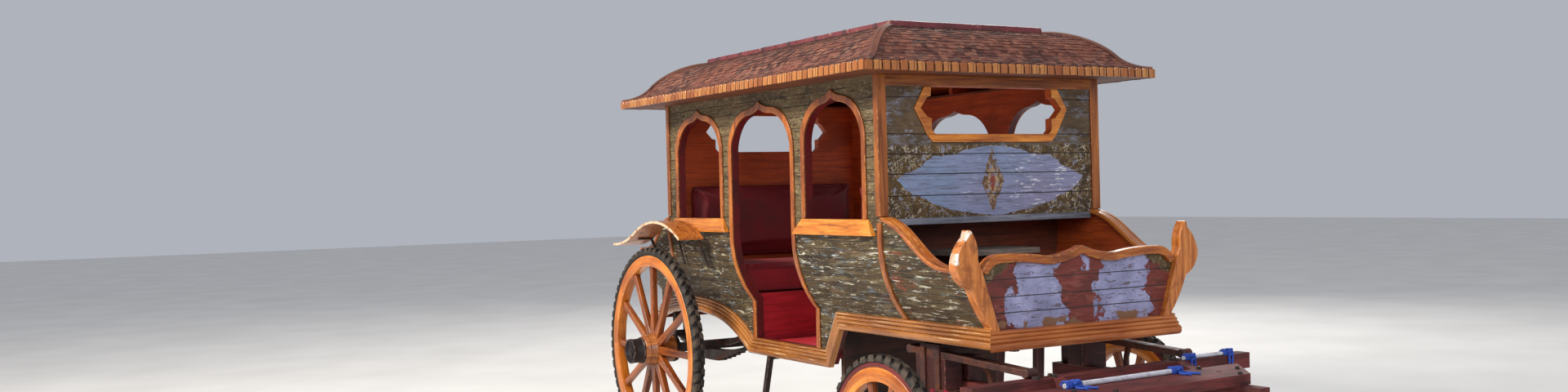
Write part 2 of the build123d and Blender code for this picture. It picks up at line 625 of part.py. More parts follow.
# ---------------------------------------------------------------- rear mudguards, their stays and the entry steps
GUARD_X0, GUARD_X1, GUARD_T = 685.0, 845.0, 15.0
GUARD = ((1680.0, 1227.0), (1960.0, 1317.0), (2262.0, 1258.0), (2400.0, 1205.0), (2578.0, 1182.0))
with BuildPart() as mudguards:
    for s in (1, -1):
        with BuildSketch(at_x(s * GUARD_X0)):
            top = [(fy(a), b) for a, b in GUARD]
            low = [(fy(a), b - GUARD_T) for a, b in GUARD]
            with BuildLine():
                ThreePointArc(top[0], top[1], top[2])
                ThreePointArc(top[2], top[3], top[4])
                Line(top[4], low[4])
                ThreePointArc(low[4], low[3], low[2])
                ThreePointArc(low[2], low[1], low[0])
                Line(low[0], top[0])
            make_face()
        extrude(amount=s * (GUARD_X1 - GUARD_X0))
finish(mudguards.part, "mudguards")

# Columns: y of the stay, height of the mudguard's underside there
STAYS = ((1716.0, 1232.0), (2010.0, 1300.0), (2330.0, 1216.0))
with BuildPart() as mudguard_stays:
    for s in (1, -1):
        for ys, zu in STAYS:
            with BuildSketch(at_y(ys - 9)):
                Polygon((s * 640, 1062), (s * 648, 1062), (s * 712, zu - 12), (s * 790, zu - 12),
                        (s * 790, zu + 12), (s * 706, zu + 12), align=None)
            extrude(amount=-18)
    with BuildSketch(at_y(1600)):
        for s in (1, -1):
            side_section(s, -200, 0, 1400, 500)
    extrude(amount=-900, mode=Mode.SUBTRACT)
    add(mudguards.part, mode=Mode.SUBTRACT)
    # nothing is left above the guards
    for s in (1, -1):
        with BuildSketch(at_x(s * GUARD_X0 - s * 40)):
            with BuildLine():
                ThreePointArc(top[0], top[1], top[2])
                ThreePointArc(top[2], top[3], top[4])
                Polyline(top[4], (top[4][0], 1500.0), (top[0][0], 1500.0), top[0])
            make_face()
        extrude(amount=s * 240, mode=Mode.SUBTRACT)
finish(mudguard_stays.part, "mudguard_stays")

with BuildPart() as entry_steps:
    for s in (1, -1):
        with BuildSketch(at_y(1260 - 14)):
            Polygon((s * 380, 635), (s * 380, 576), (s * 506, 576), (s * 556, 305),
                    (s * 584, 305), (s * 532, 594), (s * 404, 594), (s * 404, 635), align=None)
        extrude(amount=-28)
        with Locations((s * 635, fy(1180), 296)):
            Box(180, 260, 18)
finish(entry_steps.part, "entry_steps")

# ---------------------------------------------------------------- rear axle, springs and hangers
AXLE_SQ = 50.0
REAR_STUB_R, FRONT_STUB_R = 22.0, 20.0
REAR_HUB_IN, REAR_HUB_OUT, REAR_HUB_END = 690.0, 904.0, 976.0
FRONT_HUB_IN, FRONT_HUB_OUT, FRONT_HUB_END = 665.0, 815.0, 885.0
with BuildPart() as rear_axle:
    with BuildSketch(at_x(-REAR_HUB_IN + 5)):
        with Locations((fy(REAR_AXLE_Y), REAR_R)):
            Rectangle(AXLE_SQ, AXLE_SQ)
    extrude(amount=2 * (REAR_HUB_IN - 5))
    with BuildSketch(at_x(-REAR_HUB_END + 20)):
        with Locations((fy(REAR_AXLE_Y), REAR_R)):
            Circle(REAR_STUB_R)
    extrude(amount=2 * (REAR_HUB_END - 20))
finish(rear_axle.part, "rear_axle")

SPRING_X, SPRING_W, SPRING_HALF = 440.0, 55.0, 450.0
LEAF, LEAVES = 9.0, 7
SPRING_TOP = REAR_R - AXLE_SQ / 2
SPRING_RISE = 52.0
with BuildPart() as rear_springs:
    for s in (1, -1):
        with BuildSketch(at_x(s * SPRING_X - SPRING_W / 2)):
            for i in range(LEAVES):
                h = SPRING_HALF * (1 - i / (LEAVES + 1.0))
                rise = SPRING_RISE * (h / SPRING_HALF)**2
                z = SPRING_TOP - i * LEAF
                with BuildLine():
                    ThreePointArc((fy(REAR_AXLE_Y - h), z + rise), (fy(REAR_AXLE_Y), z), (fy(REAR_AXLE_Y + h), z + rise))
                    Line((fy(REAR_AXLE_Y + h), z + rise), (fy(REAR_AXLE_Y + h), z + rise - LEAF))
                    ThreePointArc((fy(REAR_AXLE_Y + h), z + rise - LEAF), (fy(REAR_AXLE_Y), z - LEAF),
                                  (fy(REAR_AXLE_Y - h), z + rise - LEAF))
                    Line((fy(REAR_AXLE_Y - h), z + rise - LEAF), (fy(REAR_AXLE_Y - h), z + rise))
                make_face()
            for d in (-1, 1):
                with Locations((fy(REAR_AXLE_Y + d * SPRING_HALF), SPRING_TOP + SPRING_RISE + 6)):
                    Circle(18)
        extrude(amount=SPRING_W)
    add(rear_axle.part, mode=Mode.SUBTRACT)
finish(rear_springs.part, "rear_springs")

# hangers carry the spring eyes below the body; braces run forward from the axle
with BuildPart() as spring_hangers:
    ze = SPRING_TOP + SPRING_RISE + 6
    for s in (1, -1):
        for d, ztop in ((-1, DECK_Z - DECK_T), (1, DECK_Z - DECK_T)):
            ye = fy(REAR_AXLE_Y + d * SPRING_HALF)
            for xo in (-SPRING_W / 2 - 11, SPRING_W / 2 + 1):
                with BuildSketch(at_x(s * SPRING_X + xo)):
                    Polygon((ye - 14, ze - 18), (ye + 14, ze - 18), (ye + 26, ztop), (ye - 26, ztop), align=None)
                extrude(amount=10)
            with BuildSketch(at_x(s * SPRING_X - SPRING_W / 2 - 11)):
                with Locations((ye, ztop - 12)):
                    Rectangle(52, 24)
            extrude(amount=SPRING_W + 22)
with BuildPart() as rear_braces:
    for s in (1, -1):
        with BuildSketch(at_x(s * 370 - 12)):
            Polygon((fy(1500), 700), (fy(1500), 730), (fy(REAR_AXLE_Y - AXLE_SQ / 2), REAR_R + 16),
                    (fy(REAR_AXLE_Y - AXLE_SQ / 2), REAR_R - 14), align=None)
        extrude(amount=24)
finish(spring_hangers.part, "spring_hangers")
finish(rear_braces.part, "rear_braces")

# ---------------------------------------------------------------- turntable and fore-carriage
KING = (0.0, fy(FRONT_AXLE_Y))
KING_R, PLATE_R = 16.0, 250.0
BOLSTER_TOP = 775.0
with BuildPart() as turntable_upper:
    with BuildSketch(Plane.XY.offset(BOLSTER_TOP + 13.0)):
        with Locations(KING):
            Circle(PLATE_R)
    extrude(amount=DECK_Z - DECK_T - BOLSTER_TOP - 13.0)
    with BuildSketch(Plane.XY.offset(700.0)):
        with Locations(KING):
            Circle(KING_R)
    extrude(amount=BOLSTER_TOP + 14.0 - 700.0)
    with BuildSketch(Plane.XY.offset(700.0)):
        with Locations(KING):
            RegularPolygon(28, 6)
    extrude(amount=26)
finish(turntable_upper.part, "turntable_upper")


def steered(part):
    return part.rotate(Axis((KING[0], KING[1], 0), (0, 0, 1)), STEER)


FA = FRONT_AXLE_Y
BAR_X, BAR_W, BAR_T = 470.0, 60.0, 28.0
BLOCK_X0, BLOCK_X1, BLOCK_Z = 400.0, 500.0, 580.0
BAR_REAR, BAR_FRONT = (35.0, 743.0), (-710.0, 701.5)


def bar_z(v, o):
    """Height of the spring bar's centre line at y = v, raised by o."""
    t = (v - BAR_REAR[0]) / (BAR_FRONT[0] - BAR_REAR[0])
    return BAR_REAR[1] + t * (BAR_FRONT[1] - BAR_REAR[1]) + o


with BuildPart() as turntable_lower:
    with BuildSketch(Plane.XY.offset(BOLSTER_TOP)):
        with Locations(KING):
            Circle(PLATE_R)
            Circle(PLATE_R - 60, mode=Mode.SUBTRACT)
    extrude(amount=12.5)

with BuildPart() as fore_bolster:
    with BuildSketch(at_x(-BLOCK_X1)):
        Polygon((fy(FA - 65), bar_z(FA - 65, BAR_T / 2)), (fy(FA + 65), bar_z(FA + 65, BAR_T / 2)),
                (fy(FA + 65), BOLSTER_TOP), (fy(FA - 65), BOLSTER_TOP), align=None)
    extrude(amount=2 * BLOCK_X1)
    with Locations((KING[0], KING[1], BOLSTER_TOP)):
        Hole(KING_R + FIT)

with BuildPart() as axle_blocks:
    for s in (1, -1):
        with BuildSketch(at_x(s * (BLOCK_X0 + BLOCK_X1) / 2 - (BLOCK_X1 - BLOCK_X0) / 2)):
            Polygon((fy(FA - 100), BLOCK_Z), (fy(FA - 60), BLOCK_Z), (fy(FA - 60), FRONT_R + AXLE_SQ / 2),
                    (fy(FA + 60), FRONT_R + AXLE_SQ / 2), (fy(FA + 60), BLOCK_Z), (fy(FA + 100), BLOCK_Z),
                    (fy(FA + 100), bar_z(FA + 100, -BAR_T / 2)), (fy(FA - 100), bar_z(FA - 100, -BAR_T / 2)),
                    align=None)
        extrude(amount=BLOCK_X1 - BLOCK_X0)

with BuildPart() as spring_bars:
    for s in (1, -1):
        with BuildSketch(at_x(s * BAR_X - BAR_W / 2)):
            Polygon((fy(BAR_FRONT[0]), bar_z(BAR_FRONT[0], -BAR_T / 2)), (fy(BAR_REAR[0]), bar_z(BAR_REAR[0], -BAR_T / 2)),
                    (fy(BAR_REAR[0]), bar_z(BAR_REAR[0], BAR_T / 2)), (fy(BAR_FRONT[0]), bar_z(BAR_FRONT[0], BAR_T / 2)),
                    align=None)
            for yv, zv in (BAR_REAR, BAR_FRONT):
                with Locations((fy(yv), zv)):
                    Circle(20)
        extrude(amount=BAR_W)

with BuildPart() as front_axle:
    with BuildSketch(at_x(-FRONT_HUB_IN + 5)):
        with Locations((fy(FA), FRONT_R)):
            Rectangle(AXLE_SQ, AXLE_SQ)
    extrude(amount=2 * (FRONT_HUB_IN - 5))
    with BuildSketch(at_x(-FRONT_HUB_END + 20)):
        with Locations((fy(FA), FRONT_R)):
            Circle(FRONT_STUB_R)
    extrude(amount=2 * (FRONT_HUB_END - 20))

FUT_X, FUT_W, FUT_TOP = 370.0, 60.0, 610.0
FRONT_END = -1205.0
with BuildPart() as futchells:
    for s in (1, -1):
        with BuildSketch(Plane.XY.offset(FUT_TOP - 60)):
            with Locations((s * FUT_X, fy((FA + 100 + FRONT_END) / 2))):
                Rectangle(FUT_W, FA + 100 - FRONT_END)
        extrude(amount=60)

# Columns: centre y, width in y, half length at the back and at the front edge, height
CROSS = ((-737.0, 70.0, 835.0, 835.0, 70.0), (-975.0, 250.0, 645.0, 415.0, 45.0))
PIN_R = 13.0
with BuildPart() as cross_bars:
    for yc, wy, hx, hf, h in CROSS:
        with BuildSketch(Plane.XY.offset(FUT_TOP)):
            Polygon((-hx, fy(yc + wy / 2)), (-hf, fy(yc - wy / 2)), (hf, fy(yc - wy / 2)), (hx, fy(yc + wy / 2)), align=None)
            if wy > 100:
                with Locations((-FUT_X, fy(yc)), (0, fy(yc)), (FUT_X, fy(yc))):
                    Circle(PIN_R, mode=Mode.SUBTRACT)
        extrude(amount=h)
    # sloping chocks between the rear bar and the front plank
    for s in (1, -1):
        with BuildSketch(at_x(s * FUT_X - 27)):
            Polygon((fy(-770), FUT_TOP), (fy(-852), FUT_TOP), (fy(-852), FUT_TOP + 45), (fy(-770), FUT_TOP + 70), align=None)
        extrude(amount=54)

# the holes of the outer draw pins go on through the timbers below
with BuildPart() as futchell_bores:
    with BuildSketch(Plane.XY.offset(FUT_TOP - 61)):
        with Locations((-FUT_X, fy(CROSS[1][0])), (FUT_X, fy(CROSS[1][0]))):
            Circle(PIN_R)
    extrude(amount=62)

with BuildPart() as futchells_bored:
    add(futchells.part)
    add(futchell_bores.part, mode=Mode.SUBTRACT)

with BuildPart() as lashed_poles:
    with BuildSketch(at_x(-454)):
        with Locations((fy(-888), FUT_TOP + 45 + 11)):
            Circle(11)
    extrude(amount=689)
    with BuildSketch(at_x(400)):
        with Locations((fy(-757), FUT_TOP + 70 + 9)):
            Circle(9)
    extrude(amount=330)

for part, node in ((turntable_lower.part, "turntable_lower"), (fore_bolster.part, "fore_bolster"),
                   (axle_blocks.part, "axle_blocks"), (spring_bars.part, "spring_bars"),
                   (front_axle.part, "front_axle"), (futchells_bored.part, "futchells"),
                   (cross_bars.part, "cross_bars"), (lashed_poles.part, "lashed_poles")):
    finish(steered(part), node)

# ---------------------------------------------------------------- wheels
# Columns: name, side, axle y, tyre radius, rim radius, rim depth, inner x of the tyre, tyre width,
#          rim inner x, rim width, hub radius, spokes, hub inner/outer/end x, stub radius, steered
WHEELS = (
    ("rear", REAR_AXLE_Y, REAR_R, 538.0, 62.0, 784.0, 66.0, 788.0, 58.0, 90.0, 12,
     REAR_HUB_IN, REAR_HUB_OUT, REAR_HUB_END, REAR_STUB_R, False),
    ("front", FRONT_AXLE_Y, FRONT_R, 342.0, 84.0, 733.0, 66.0, 737.0, 58.0, 74.0, 10,
     FRONT_HUB_IN, FRONT_HUB_OUT, FRONT_HUB_END, FRONT_STUB_R, True),
)
for (end, ya, rt, rr, rd, tx, tw, rx, rw, rh, n, h0, h1, h2, sr, steer) in WHEELS:
    for side, s in (("left", 1), ("right", -1)):
        axis = Axis((0, fy(ya), rt), (1, 0, 0))
        with BuildPart() as wheel:
            # felloe and hub, turned round the axle
            with BuildSketch(Plane.XY.offset(rt)):
                Polygon((s * rx, fy(ya) + rr - rd), (s * (rx + rw), fy(ya) + rr - rd), (s * (rx + rw), fy(ya) + rr),
                        (s * rx, fy(ya) + rr), align=None)
                Polygon((s * h0, fy(ya) + sr + FIT), (s * (h2 - 15), fy(ya) + sr + FIT), (s * (h2 - 15), fy(ya)),
                        (s * h2, fy(ya)), (s * h2, fy(ya) + rh * 0.74), (s * (h1 + 4), fy(ya) + rh * 0.78),
                        (s * h1, fy(ya) + rh * 0.86), (s * (rx + rw / 2 + 30), fy(ya) + rh),
                        (s * (rx + rw / 2 - 30), fy(ya) + rh), (s * h0, fy(ya) + rh * 0.8), align=None)
            revolve(axis=axis)
            # tapered spokes
            for i in range(n):
                a = 360.0 * i / n
                pl = Plane(origin=(s * (rx + rw / 2) - 17, fy(ya), rt), x_dir=(0, math.cos(math.radians(a)), math.sin(math.radians(a))),
                           z_dir=(1, 0, 0))
                with BuildSketch(pl):
                    Polygon((rh - 12, -rh * 0.25), (rr - rd + 6, -19), (rr - rd + 6, 19), (rh - 12, rh * 0.25), align=None)
                extrude(amount=34)
        with BuildPart() as tyre:
            with BuildSketch(Plane.XY.offset(rt)):
                Polygon((s * tx, fy(ya) + rr + 2), (s * (tx + 9), fy(ya) + rr), (s * (tx + tw - 5), fy(ya) + rr),
                        (s * (tx + tw), fy(ya) + rr + 6), (s * (tx + tw), fy(ya) + rt - 10), (s * (tx + tw - 10), fy(ya) + rt),
                        (s * (tx + 10), fy(ya) + rt), (s * tx, fy(ya) + rt - 10), align=None)
            revolve(axis=axis)
        w, t = wheel.part, tyre.part
        if steer:
            w, t = steered(w), steered(t)
        finish(w, end + "_wheel_" + side)
        finish(t, end + "_tyre_" + side)
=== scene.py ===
import bpy
import bmesh
import json
import math
import random
import numpy as np
from mathutils import Matrix, Vector


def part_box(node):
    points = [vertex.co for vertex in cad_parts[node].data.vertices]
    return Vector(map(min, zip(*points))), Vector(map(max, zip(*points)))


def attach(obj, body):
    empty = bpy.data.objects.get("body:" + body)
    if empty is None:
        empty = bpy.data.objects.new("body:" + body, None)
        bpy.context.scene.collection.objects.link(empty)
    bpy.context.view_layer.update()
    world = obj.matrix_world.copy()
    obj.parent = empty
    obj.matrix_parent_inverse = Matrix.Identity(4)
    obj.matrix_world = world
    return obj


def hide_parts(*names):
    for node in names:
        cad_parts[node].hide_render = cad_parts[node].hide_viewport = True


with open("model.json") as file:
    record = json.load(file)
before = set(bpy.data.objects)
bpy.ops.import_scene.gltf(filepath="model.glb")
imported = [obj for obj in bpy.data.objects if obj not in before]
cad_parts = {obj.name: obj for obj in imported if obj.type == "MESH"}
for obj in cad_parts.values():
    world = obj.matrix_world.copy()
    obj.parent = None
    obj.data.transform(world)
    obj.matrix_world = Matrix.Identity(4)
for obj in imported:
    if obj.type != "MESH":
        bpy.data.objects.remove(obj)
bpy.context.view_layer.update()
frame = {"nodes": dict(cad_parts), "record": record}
nodes = frame["nodes"]
BODY, FORE = "coach_body", "fore_carriage"
rng = random.Random(11)

# ---------------------------------------------------------------- sizes of the coach, in millimetres as in its part file
FRONT_Y = -714.3
HALF, CABIN_LEN, WALL, WALL_TOP, SILL_Z = 650.0, 2178.0, 40.0, 1980.0, 1331.0
TUMBLE_Z, TUMBLE_R, FOOT_Z = 1240.0, 560.0, 880.0
TUMBLE_CX = HALF - TUMBLE_R
FOOT = TUMBLE_CX + math.sqrt(TUMBLE_R**2 - (TUMBLE_Z - FOOT_Z)**2)
BOX_LEN, BOOT_LEN, PANEL = 570.0, 420.0, 22.0
EDGE_FRONT_Z, EDGE_REAR_Z, MOULD_H = 790.0, 702.0, 85.0
EAVE_X, EAVE_OUT, CAP_X, CAP_Y0, CAP_Y1 = 845.0, 195.0, 455.0, 163.0, 2030.0
EAVE_Z, RIDGE_Z, ROOF_T, CAP_T = 2018.0, 2216.0, 24.0, 34.0
REAR_AXLE_Y, REAR_R, FRONT_AXLE_Y, FRONT_R, STEER = 2070.0, 583.0, -113.0, 376.0, 3.0
KING = Vector((0.0, FRONT_Y + FRONT_AXLE_Y, 0.0)) / 1000.0


def fy(v):
    return FRONT_Y + v


def m3(x, y, z):
    """A point given in mm, with y measured from the front wall."""
    return Vector((x, fy(y), z)) / 1000.0


def lin(r, g, b):
    """Linear colour of an 8 bit display colour."""
    out = []
    for c in (r, g, b):
        c /= 255.0
        out.append(c / 12.92 if c <= 0.04045 else ((c + 0.055) / 1.055)**2.4)
    return tuple(out) + (1.0,)


# ---------------------------------------------------------------- material building
class Shade:
    """A Principled material and short calls for its nodes. 'gc' is the grain coordinate that each mesh carries:
    x along the grain, y and z across it, in metres."""

    def __init__(self, name, rough=0.5, **sockets):
        self.mat = bpy.data.materials.new(name)
        self.mat.use_nodes = True
        self.nt = self.mat.node_tree
        self.nt.nodes.clear()
        out = self.nt.nodes.new("ShaderNodeOutputMaterial")
        self.bsdf = self.nt.nodes.new("ShaderNodeBsdfPrincipled")
        self.nt.links.new(self.bsdf.outputs[0], out.inputs[0])
        self.bsdf.inputs["Roughness"].default_value = rough
        for key, value in sockets.items():
            self.bsdf.inputs[key.replace("_", " ")].default_value = value
        self._attr = {}

    def link(self, value, socket):
        if isinstance(value, bpy.types.NodeSocket):
            self.nt.links.new(value, socket)
        elif value is not None:
            socket.default_value = value

    def attr(self, name, kind="Vector"):
        key = (name, kind)
        if key not in self._attr:
            n = self.nt.nodes.new("ShaderNodeAttribute")
            n.attribute_name = name
            self._attr[key] = n.outputs[kind]
        return self._attr[key]

    def gc(self, scale=(1, 1, 1), loc=(0, 0, 0)):
        return self.mapped(self.attr("gc"), scale, loc)

    def obj(self):
        if "obj" not in self._attr:
            self._attr["obj"] = self.nt.nodes.new("ShaderNodeTexCoord").outputs["Object"]
        return self._attr["obj"]

    def mapped(self, vec, scale=(1, 1, 1), loc=(0, 0, 0)):
        n = self.nt.nodes.new("ShaderNodeMapping")
        self.link(vec, n.inputs["Vector"])
        n.inputs["Scale"].default_value = scale
        n.inputs["Location"].default_value = loc
        return n.outputs[0]

    def noise(self, vec, scale, detail=5.0, rough=0.55, distort=0.0):
        n = self.nt.nodes.new("ShaderNodeTexNoise")
        self.link(vec, n.inputs["Vector"])
        n.inputs["Scale"].default_value = scale
        n.inputs["Detail"].default_value = detail
        n.inputs["Roughness"].default_value = rough
        n.inputs["Distortion"].default_value = distort
        return n.outputs[0]

    def cells(self, vec, scale, feature="F1", out="Distance", rand=1.0):
        n = self.nt.nodes.new("ShaderNodeTexVoronoi")
        n.feature = feature
        self.link(vec, n.inputs["Vector"])
        n.inputs["Scale"].default_value = scale
        n.inputs["Randomness"].default_value = rand
        return n.outputs[out]

    def ramp(self, fac, *stops, ease=False):
        n = self.nt.nodes.new("ShaderNodeValToRGB")
        if ease:
            n.color_ramp.interpolation = "EASE"
        el = n.color_ramp.elements
        while len(el) < len(stops):
            el.new(0.5)
        for e, (p, c) in zip(el, stops):
            e.position = p
            e.color = c if isinstance(c, tuple) else (c, c, c, 1.0)
        self.link(fac, n.inputs[0])
        return n.outputs[0]

    def mix(self, fac, a, b, blend="MIX"):
        n = self.nt.nodes.new("ShaderNodeMix")
        n.data_type = "RGBA"
        n.blend_type = blend
        self.link(fac, n.inputs[0])
        self.link(a, n.inputs[6])
        self.link(b, n.inputs[7])
        return n.outputs[2]

    def math(self, op, a, b=None, c=None, clamp=False):
        n = self.nt.nodes.new("ShaderNodeMath")
        n.operation = op
        n.use_clamp = clamp
        for i, v in enumerate((a, b, c)):
            if v is not None:
                self.link(v, n.inputs[i])
        return n.outputs[0]

    def step(self, value, lo, hi, to0=0.0, to1=1.0):
        """0 below lo, 1 above hi, smooth between."""
        n = self.nt.nodes.new("ShaderNodeMapRange")
        n.interpolation_type = "SMOOTHSTEP"
        self.link(value, n.inputs["Value"])
        n.inputs["From Min"].default_value = lo
        n.inputs["From Max"].default_value = hi
        n.inputs["To Min"].default_value = to0
        n.inputs["To Max"].default_value = to1
        return n.outputs[0]

    def xyz(self, vec):
        n = self.nt.nodes.new("ShaderNodeSeparateXYZ")
        self.link(vec, n.inputs[0])
        return n.outputs

    def curve(self, value, points):
        n = self.nt.nodes.new("ShaderNodeFloatCurve")
        c = n.mapping.curves[0]
        while len(c.points) < len(points):
            c.points.new(0.5, 0.5)
        for p, (x, y) in zip(c.points, points):
            p.location = (x, y)
            p.handle_type = "VECTOR"
        n.mapping.update()
        self.link(value, n.inputs["Value"])
        return n.outputs[0]

    def bump(self, height, strength=0.5, distance=0.001, normal=None):
        n = self.nt.nodes.new("ShaderNodeBump")
        n.inputs["Strength"].default_value = strength
        n.inputs["Distance"].default_value = distance
        self.link(height, n.inputs["Height"])
        if normal is not None:
            self.link(normal, n.inputs["Normal"])
        return n.outputs[0]

    def done(self, color, rough=None, normal=None, metal=None):
        self.link(color, self.bsdf.inputs["Base Color"])
        if rough is not None:
            self.link(rough, self.bsdf.inputs["Roughness"])
        if normal is not None:
            self.link(normal, self.bsdf.inputs["Normal"])
        if metal is not None:
            self.link(metal, self.bsdf.inputs["Metallic"])
        return self.mat


def varnish(name, deep, mid, light, gloss=0.30, coat=0.22, worn_and_glint_tone=lin(234, 168, 96), wear=0.32, dirt=lin(44, 18, 4), lines=1.0, rub=18.0):
    """Varnished hardwood: long grain, blotchy varnish, rubbed edges (on the mouldings, pale streaks along the crests
    that are painted highlight glints), dust in the pores.
    """
    s = Shade(name, Coat_Weight=coat, Coat_Roughness=0.12)
    long = s.gc((1.4, 22, 22))
    grain = s.noise(long, 2.2, 6, 0.62, 0.6)
    fine = s.noise(s.gc((5, 150, 150)), 2.5, 4, 0.6)
    blotch = s.noise(s.gc((2.0, 5, 5), (3, 1, 7)), 1.6, 4, 0.5)
    base = s.ramp(grain, (0.32, deep), (0.5, mid), (0.70, light))
    base = s.mix(s.step(blotch, 0.40, 0.68, 0.0, 0.65), base, deep)
    base = s.mix(s.step(blotch, 0.30, 0.42, 0.45, 0.0), base, light)
    base = s.mix(s.step(fine, 0.56, 0.74, 0.0, 0.55 * lines), base, dirt)
    spots = s.noise(s.gc((30, 34, 34), (9, 0, 2)), 3.0, 6, 0.7)
    base = s.mix(s.step(spots, 0.66, 0.74, 0.0, 0.55), base, dirt)
    # pale rubbed edges; on the mouldings, long near-white streaks here are painted highlight glints
    edge = s.math("MULTIPLY", s.attr("edge", "Fac"), s.step(s.noise(s.gc((rub, 30, 30)), 2.0, 5, 0.65), 0.48, 0.62))
    base = s.mix(s.math("MULTIPLY", edge, wear), base, worn_and_glint_tone)
    rough = s.math("ADD", s.math("MULTIPLY", s.noise(s.gc((8, 14, 14)), 3.0, 5, 0.6), 0.28), gloss - 0.08)
    rough = s.math("ADD", rough, s.math("MULTIPLY", edge, 0.2))
    height = s.math("ADD", s.math("MULTIPLY", grain, 0.5), s.math("MULTIPLY", fine, 0.5))
    return s.done(base, rough, s.bump(height, 0.35, 0.0012))


def dull_wood(name, dark, mid, light, rough0=0.62, bump=0.5, flake=None, flake_at=0.6, flake_soft=0.03, edge_tone=None):
    """Stained or painted boards with open grain, stains and, if given, flaking patches."""
    s = Shade(name)
    grain = s.noise(s.gc((1.6, 34, 34)), 2.4, 7, 0.65, 0.4)
    stain = s.noise(s.gc((2.2, 3.6, 3.6), (5, 3, 1)), 2.1, 5, 0.55)
    fine = s.noise(s.gc((9, 190, 190)), 2.4, 3, 0.6)
    base = s.ramp(grain, (0.30, dark), (0.52, mid), (0.74, light))
    base = s.mix(s.step(stain, 0.44, 0.70, 0.0, 0.7), base, dark)
    base = s.mix(s.step(fine, 0.60, 0.76, 0.0, 0.5), base, dark)
    height = s.math("ADD", s.math("MULTIPLY", grain, 0.6), s.math("MULTIPLY", fine, 0.4))
    if flake is not None:
        chips = s.noise(s.gc((5, 26, 26), (1, 8, 4)), 2.6, 8, 0.72, 0.5)
        mask = s.step(chips, flake_at, flake_at + flake_soft)
        base = s.mix(mask, base, flake)
        height = s.math("SUBTRACT", height, s.math("MULTIPLY", mask, 0.5))
    if edge_tone is not None:
        edge = s.math("MULTIPLY", s.attr("edge", "Fac"), s.step(s.noise(s.gc((16, 26, 26)), 2.0, 5, 0.65), 0.44, 0.60))
        base = s.mix(s.math("MULTIPLY", edge, 0.65), base, edge_tone)
    rough = s.math("ADD", s.math("MULTIPLY", stain, 0.25), rough0 - 0.12)
    return s.done(base, rough, s.bump(height, bump, 0.0015))


def iron(name, base=lin(52, 42, 40), rust=lin(104, 52, 30), dust=lin(120, 100, 86), rust_at=0.52, metal=0.35, rough0=0.55):
    """Old painted iron: pitted, rusty in patches, speckled with dust."""
    s = Shade(name, Metallic=metal)
    pits = s.noise(s.mapped(s.obj(), (1, 1, 1)), 60.0, 7, 0.65)
    patch = s.noise(s.obj(), 9.0, 6, 0.62, 0.4)
    fine = s.noise(s.obj(), 420.0, 3, 0.6)
    col = s.ramp(patch, (0.30, lin(26, 21, 20)), (0.50, base), (0.72, base))
    col = s.mix(s.step(patch, rust_at, rust_at + 0.14, 0.0, 0.85), col, s.ramp(pits, (0.35, lin(70, 34, 20)), (0.65, rust)))
    col = s.mix(s.step(pits, 0.60, 0.74, 0.0, 0.5), col, dust)
    edge = s.math("MULTIPLY", s.attr("edge", "Fac"), s.step(s.noise(s.obj(), 34.0, 4, 0.6), 0.46, 0.62))
    col = s.mix(s.math("MULTIPLY", edge, 0.5), col, lin(128, 98, 78))
    rough = s.step(patch, 0.35, 0.70, rough0 - 0.12, rough0 + 0.25)
    height = s.math("ADD", s.math("MULTIPLY", pits, 0.6), s.math("MULTIPLY", fine, 0.4))
    return s.done(col, rough, s.bump(height, 0.5, 0.0012))


def old_paint(name, body, dark, layers, board=None, streak=1.0, bump=0.8, rough0=0.62, wood=lin(74, 62, 48)):
    """Old flaking paint on horizontal boards. body and dark: the paint's tones; layers: rows of
    (colour, noise scale, stretch along, stretch across, threshold, softness, seed, strength)."""
    s = Shade(name)
    broad = s.noise(s.gc((2.2, 4, 5), (2, 5, 3)), 1.8, 6, 0.6, 0.3)
    grain = s.noise(s.gc((3.0, 60, 60)), 2.2, 7, 0.68, 0.3)
    fine = s.noise(s.gc((14, 240, 240)), 2.2, 4, 0.6)
    col = s.ramp(broad, (0.30, dark), (0.52, body), (0.75, body))
    col = s.mix(s.step(grain, 0.50, 0.66, 0.0, 0.75), col, dark)
    height = s.math("MULTIPLY", grain, 0.35)
    for tone, scale, along, across, at, soft, seed, power in layers:
        n = s.noise(s.gc((along, across, across), (seed * 1.7, seed * 0.9, seed * 2.3)), scale, 9, 0.68, 0.35)
        n = s.math("ADD", n, s.math("MULTIPLY", s.math("SUBTRACT", fine, 0.5), 0.22))
        mask = s.step(n, at, at + soft)
        col = s.mix(s.math("MULTIPLY", mask, power), col, tone)
        height = s.math("ADD", height, s.math("MULTIPLY", mask, 0.4))
    # dark seams between the boards
    if board:
        gx, gy, gz = s.xyz(s.attr("gc"))
        wav = s.math("MULTIPLY", s.math("SUBTRACT", s.noise(s.gc((3, 8, 8)), 2.0, 3, 0.6), 0.5), 0.006)
        f = s.math("FRACT", s.math("DIVIDE", s.math("ADD", gz, wav), board))
        d = s.math("ABSOLUTE", s.math("SUBTRACT", f, 0.5))
        strong = s.step(s.noise(s.gc((2.5, 11, 11), (6, 6, 1)), 2.0, 4, 0.6), 0.36, 0.56, 0.35, 1.0)
        seam_ = s.math("MULTIPLY", s.step(d, 0.022, 0.055, 1.0, 0.0), strong)
        col = s.mix(s.math("MULTIPLY", seam_, 0.9), col, lin(22, 15, 9))
        height = s.math("SUBTRACT", height, s.math("MULTIPLY", seam_, 1.2))
    # long cracks along the boards, down to the wood
    crack = s.noise(s.gc((1.6 * streak, 90, 90), (7, 3, 9)), 2.0, 6, 0.7, 0.5)
    cm = s.step(crack, 0.60, 0.66)
    col = s.mix(s.math("MULTIPLY", cm, 0.8), col, wood)
    height = s.math("SUBTRACT", height, s.math("MULTIPLY", cm, 0.8))
    speck = s.noise(s.gc((60, 130, 130), (4, 4, 4)), 2.0, 5, 0.65)
    col = s.mix(s.step(speck, 0.64, 0.70, 0.0, 0.7), col, dark)
    return s, col, height, fine, rough0, bump


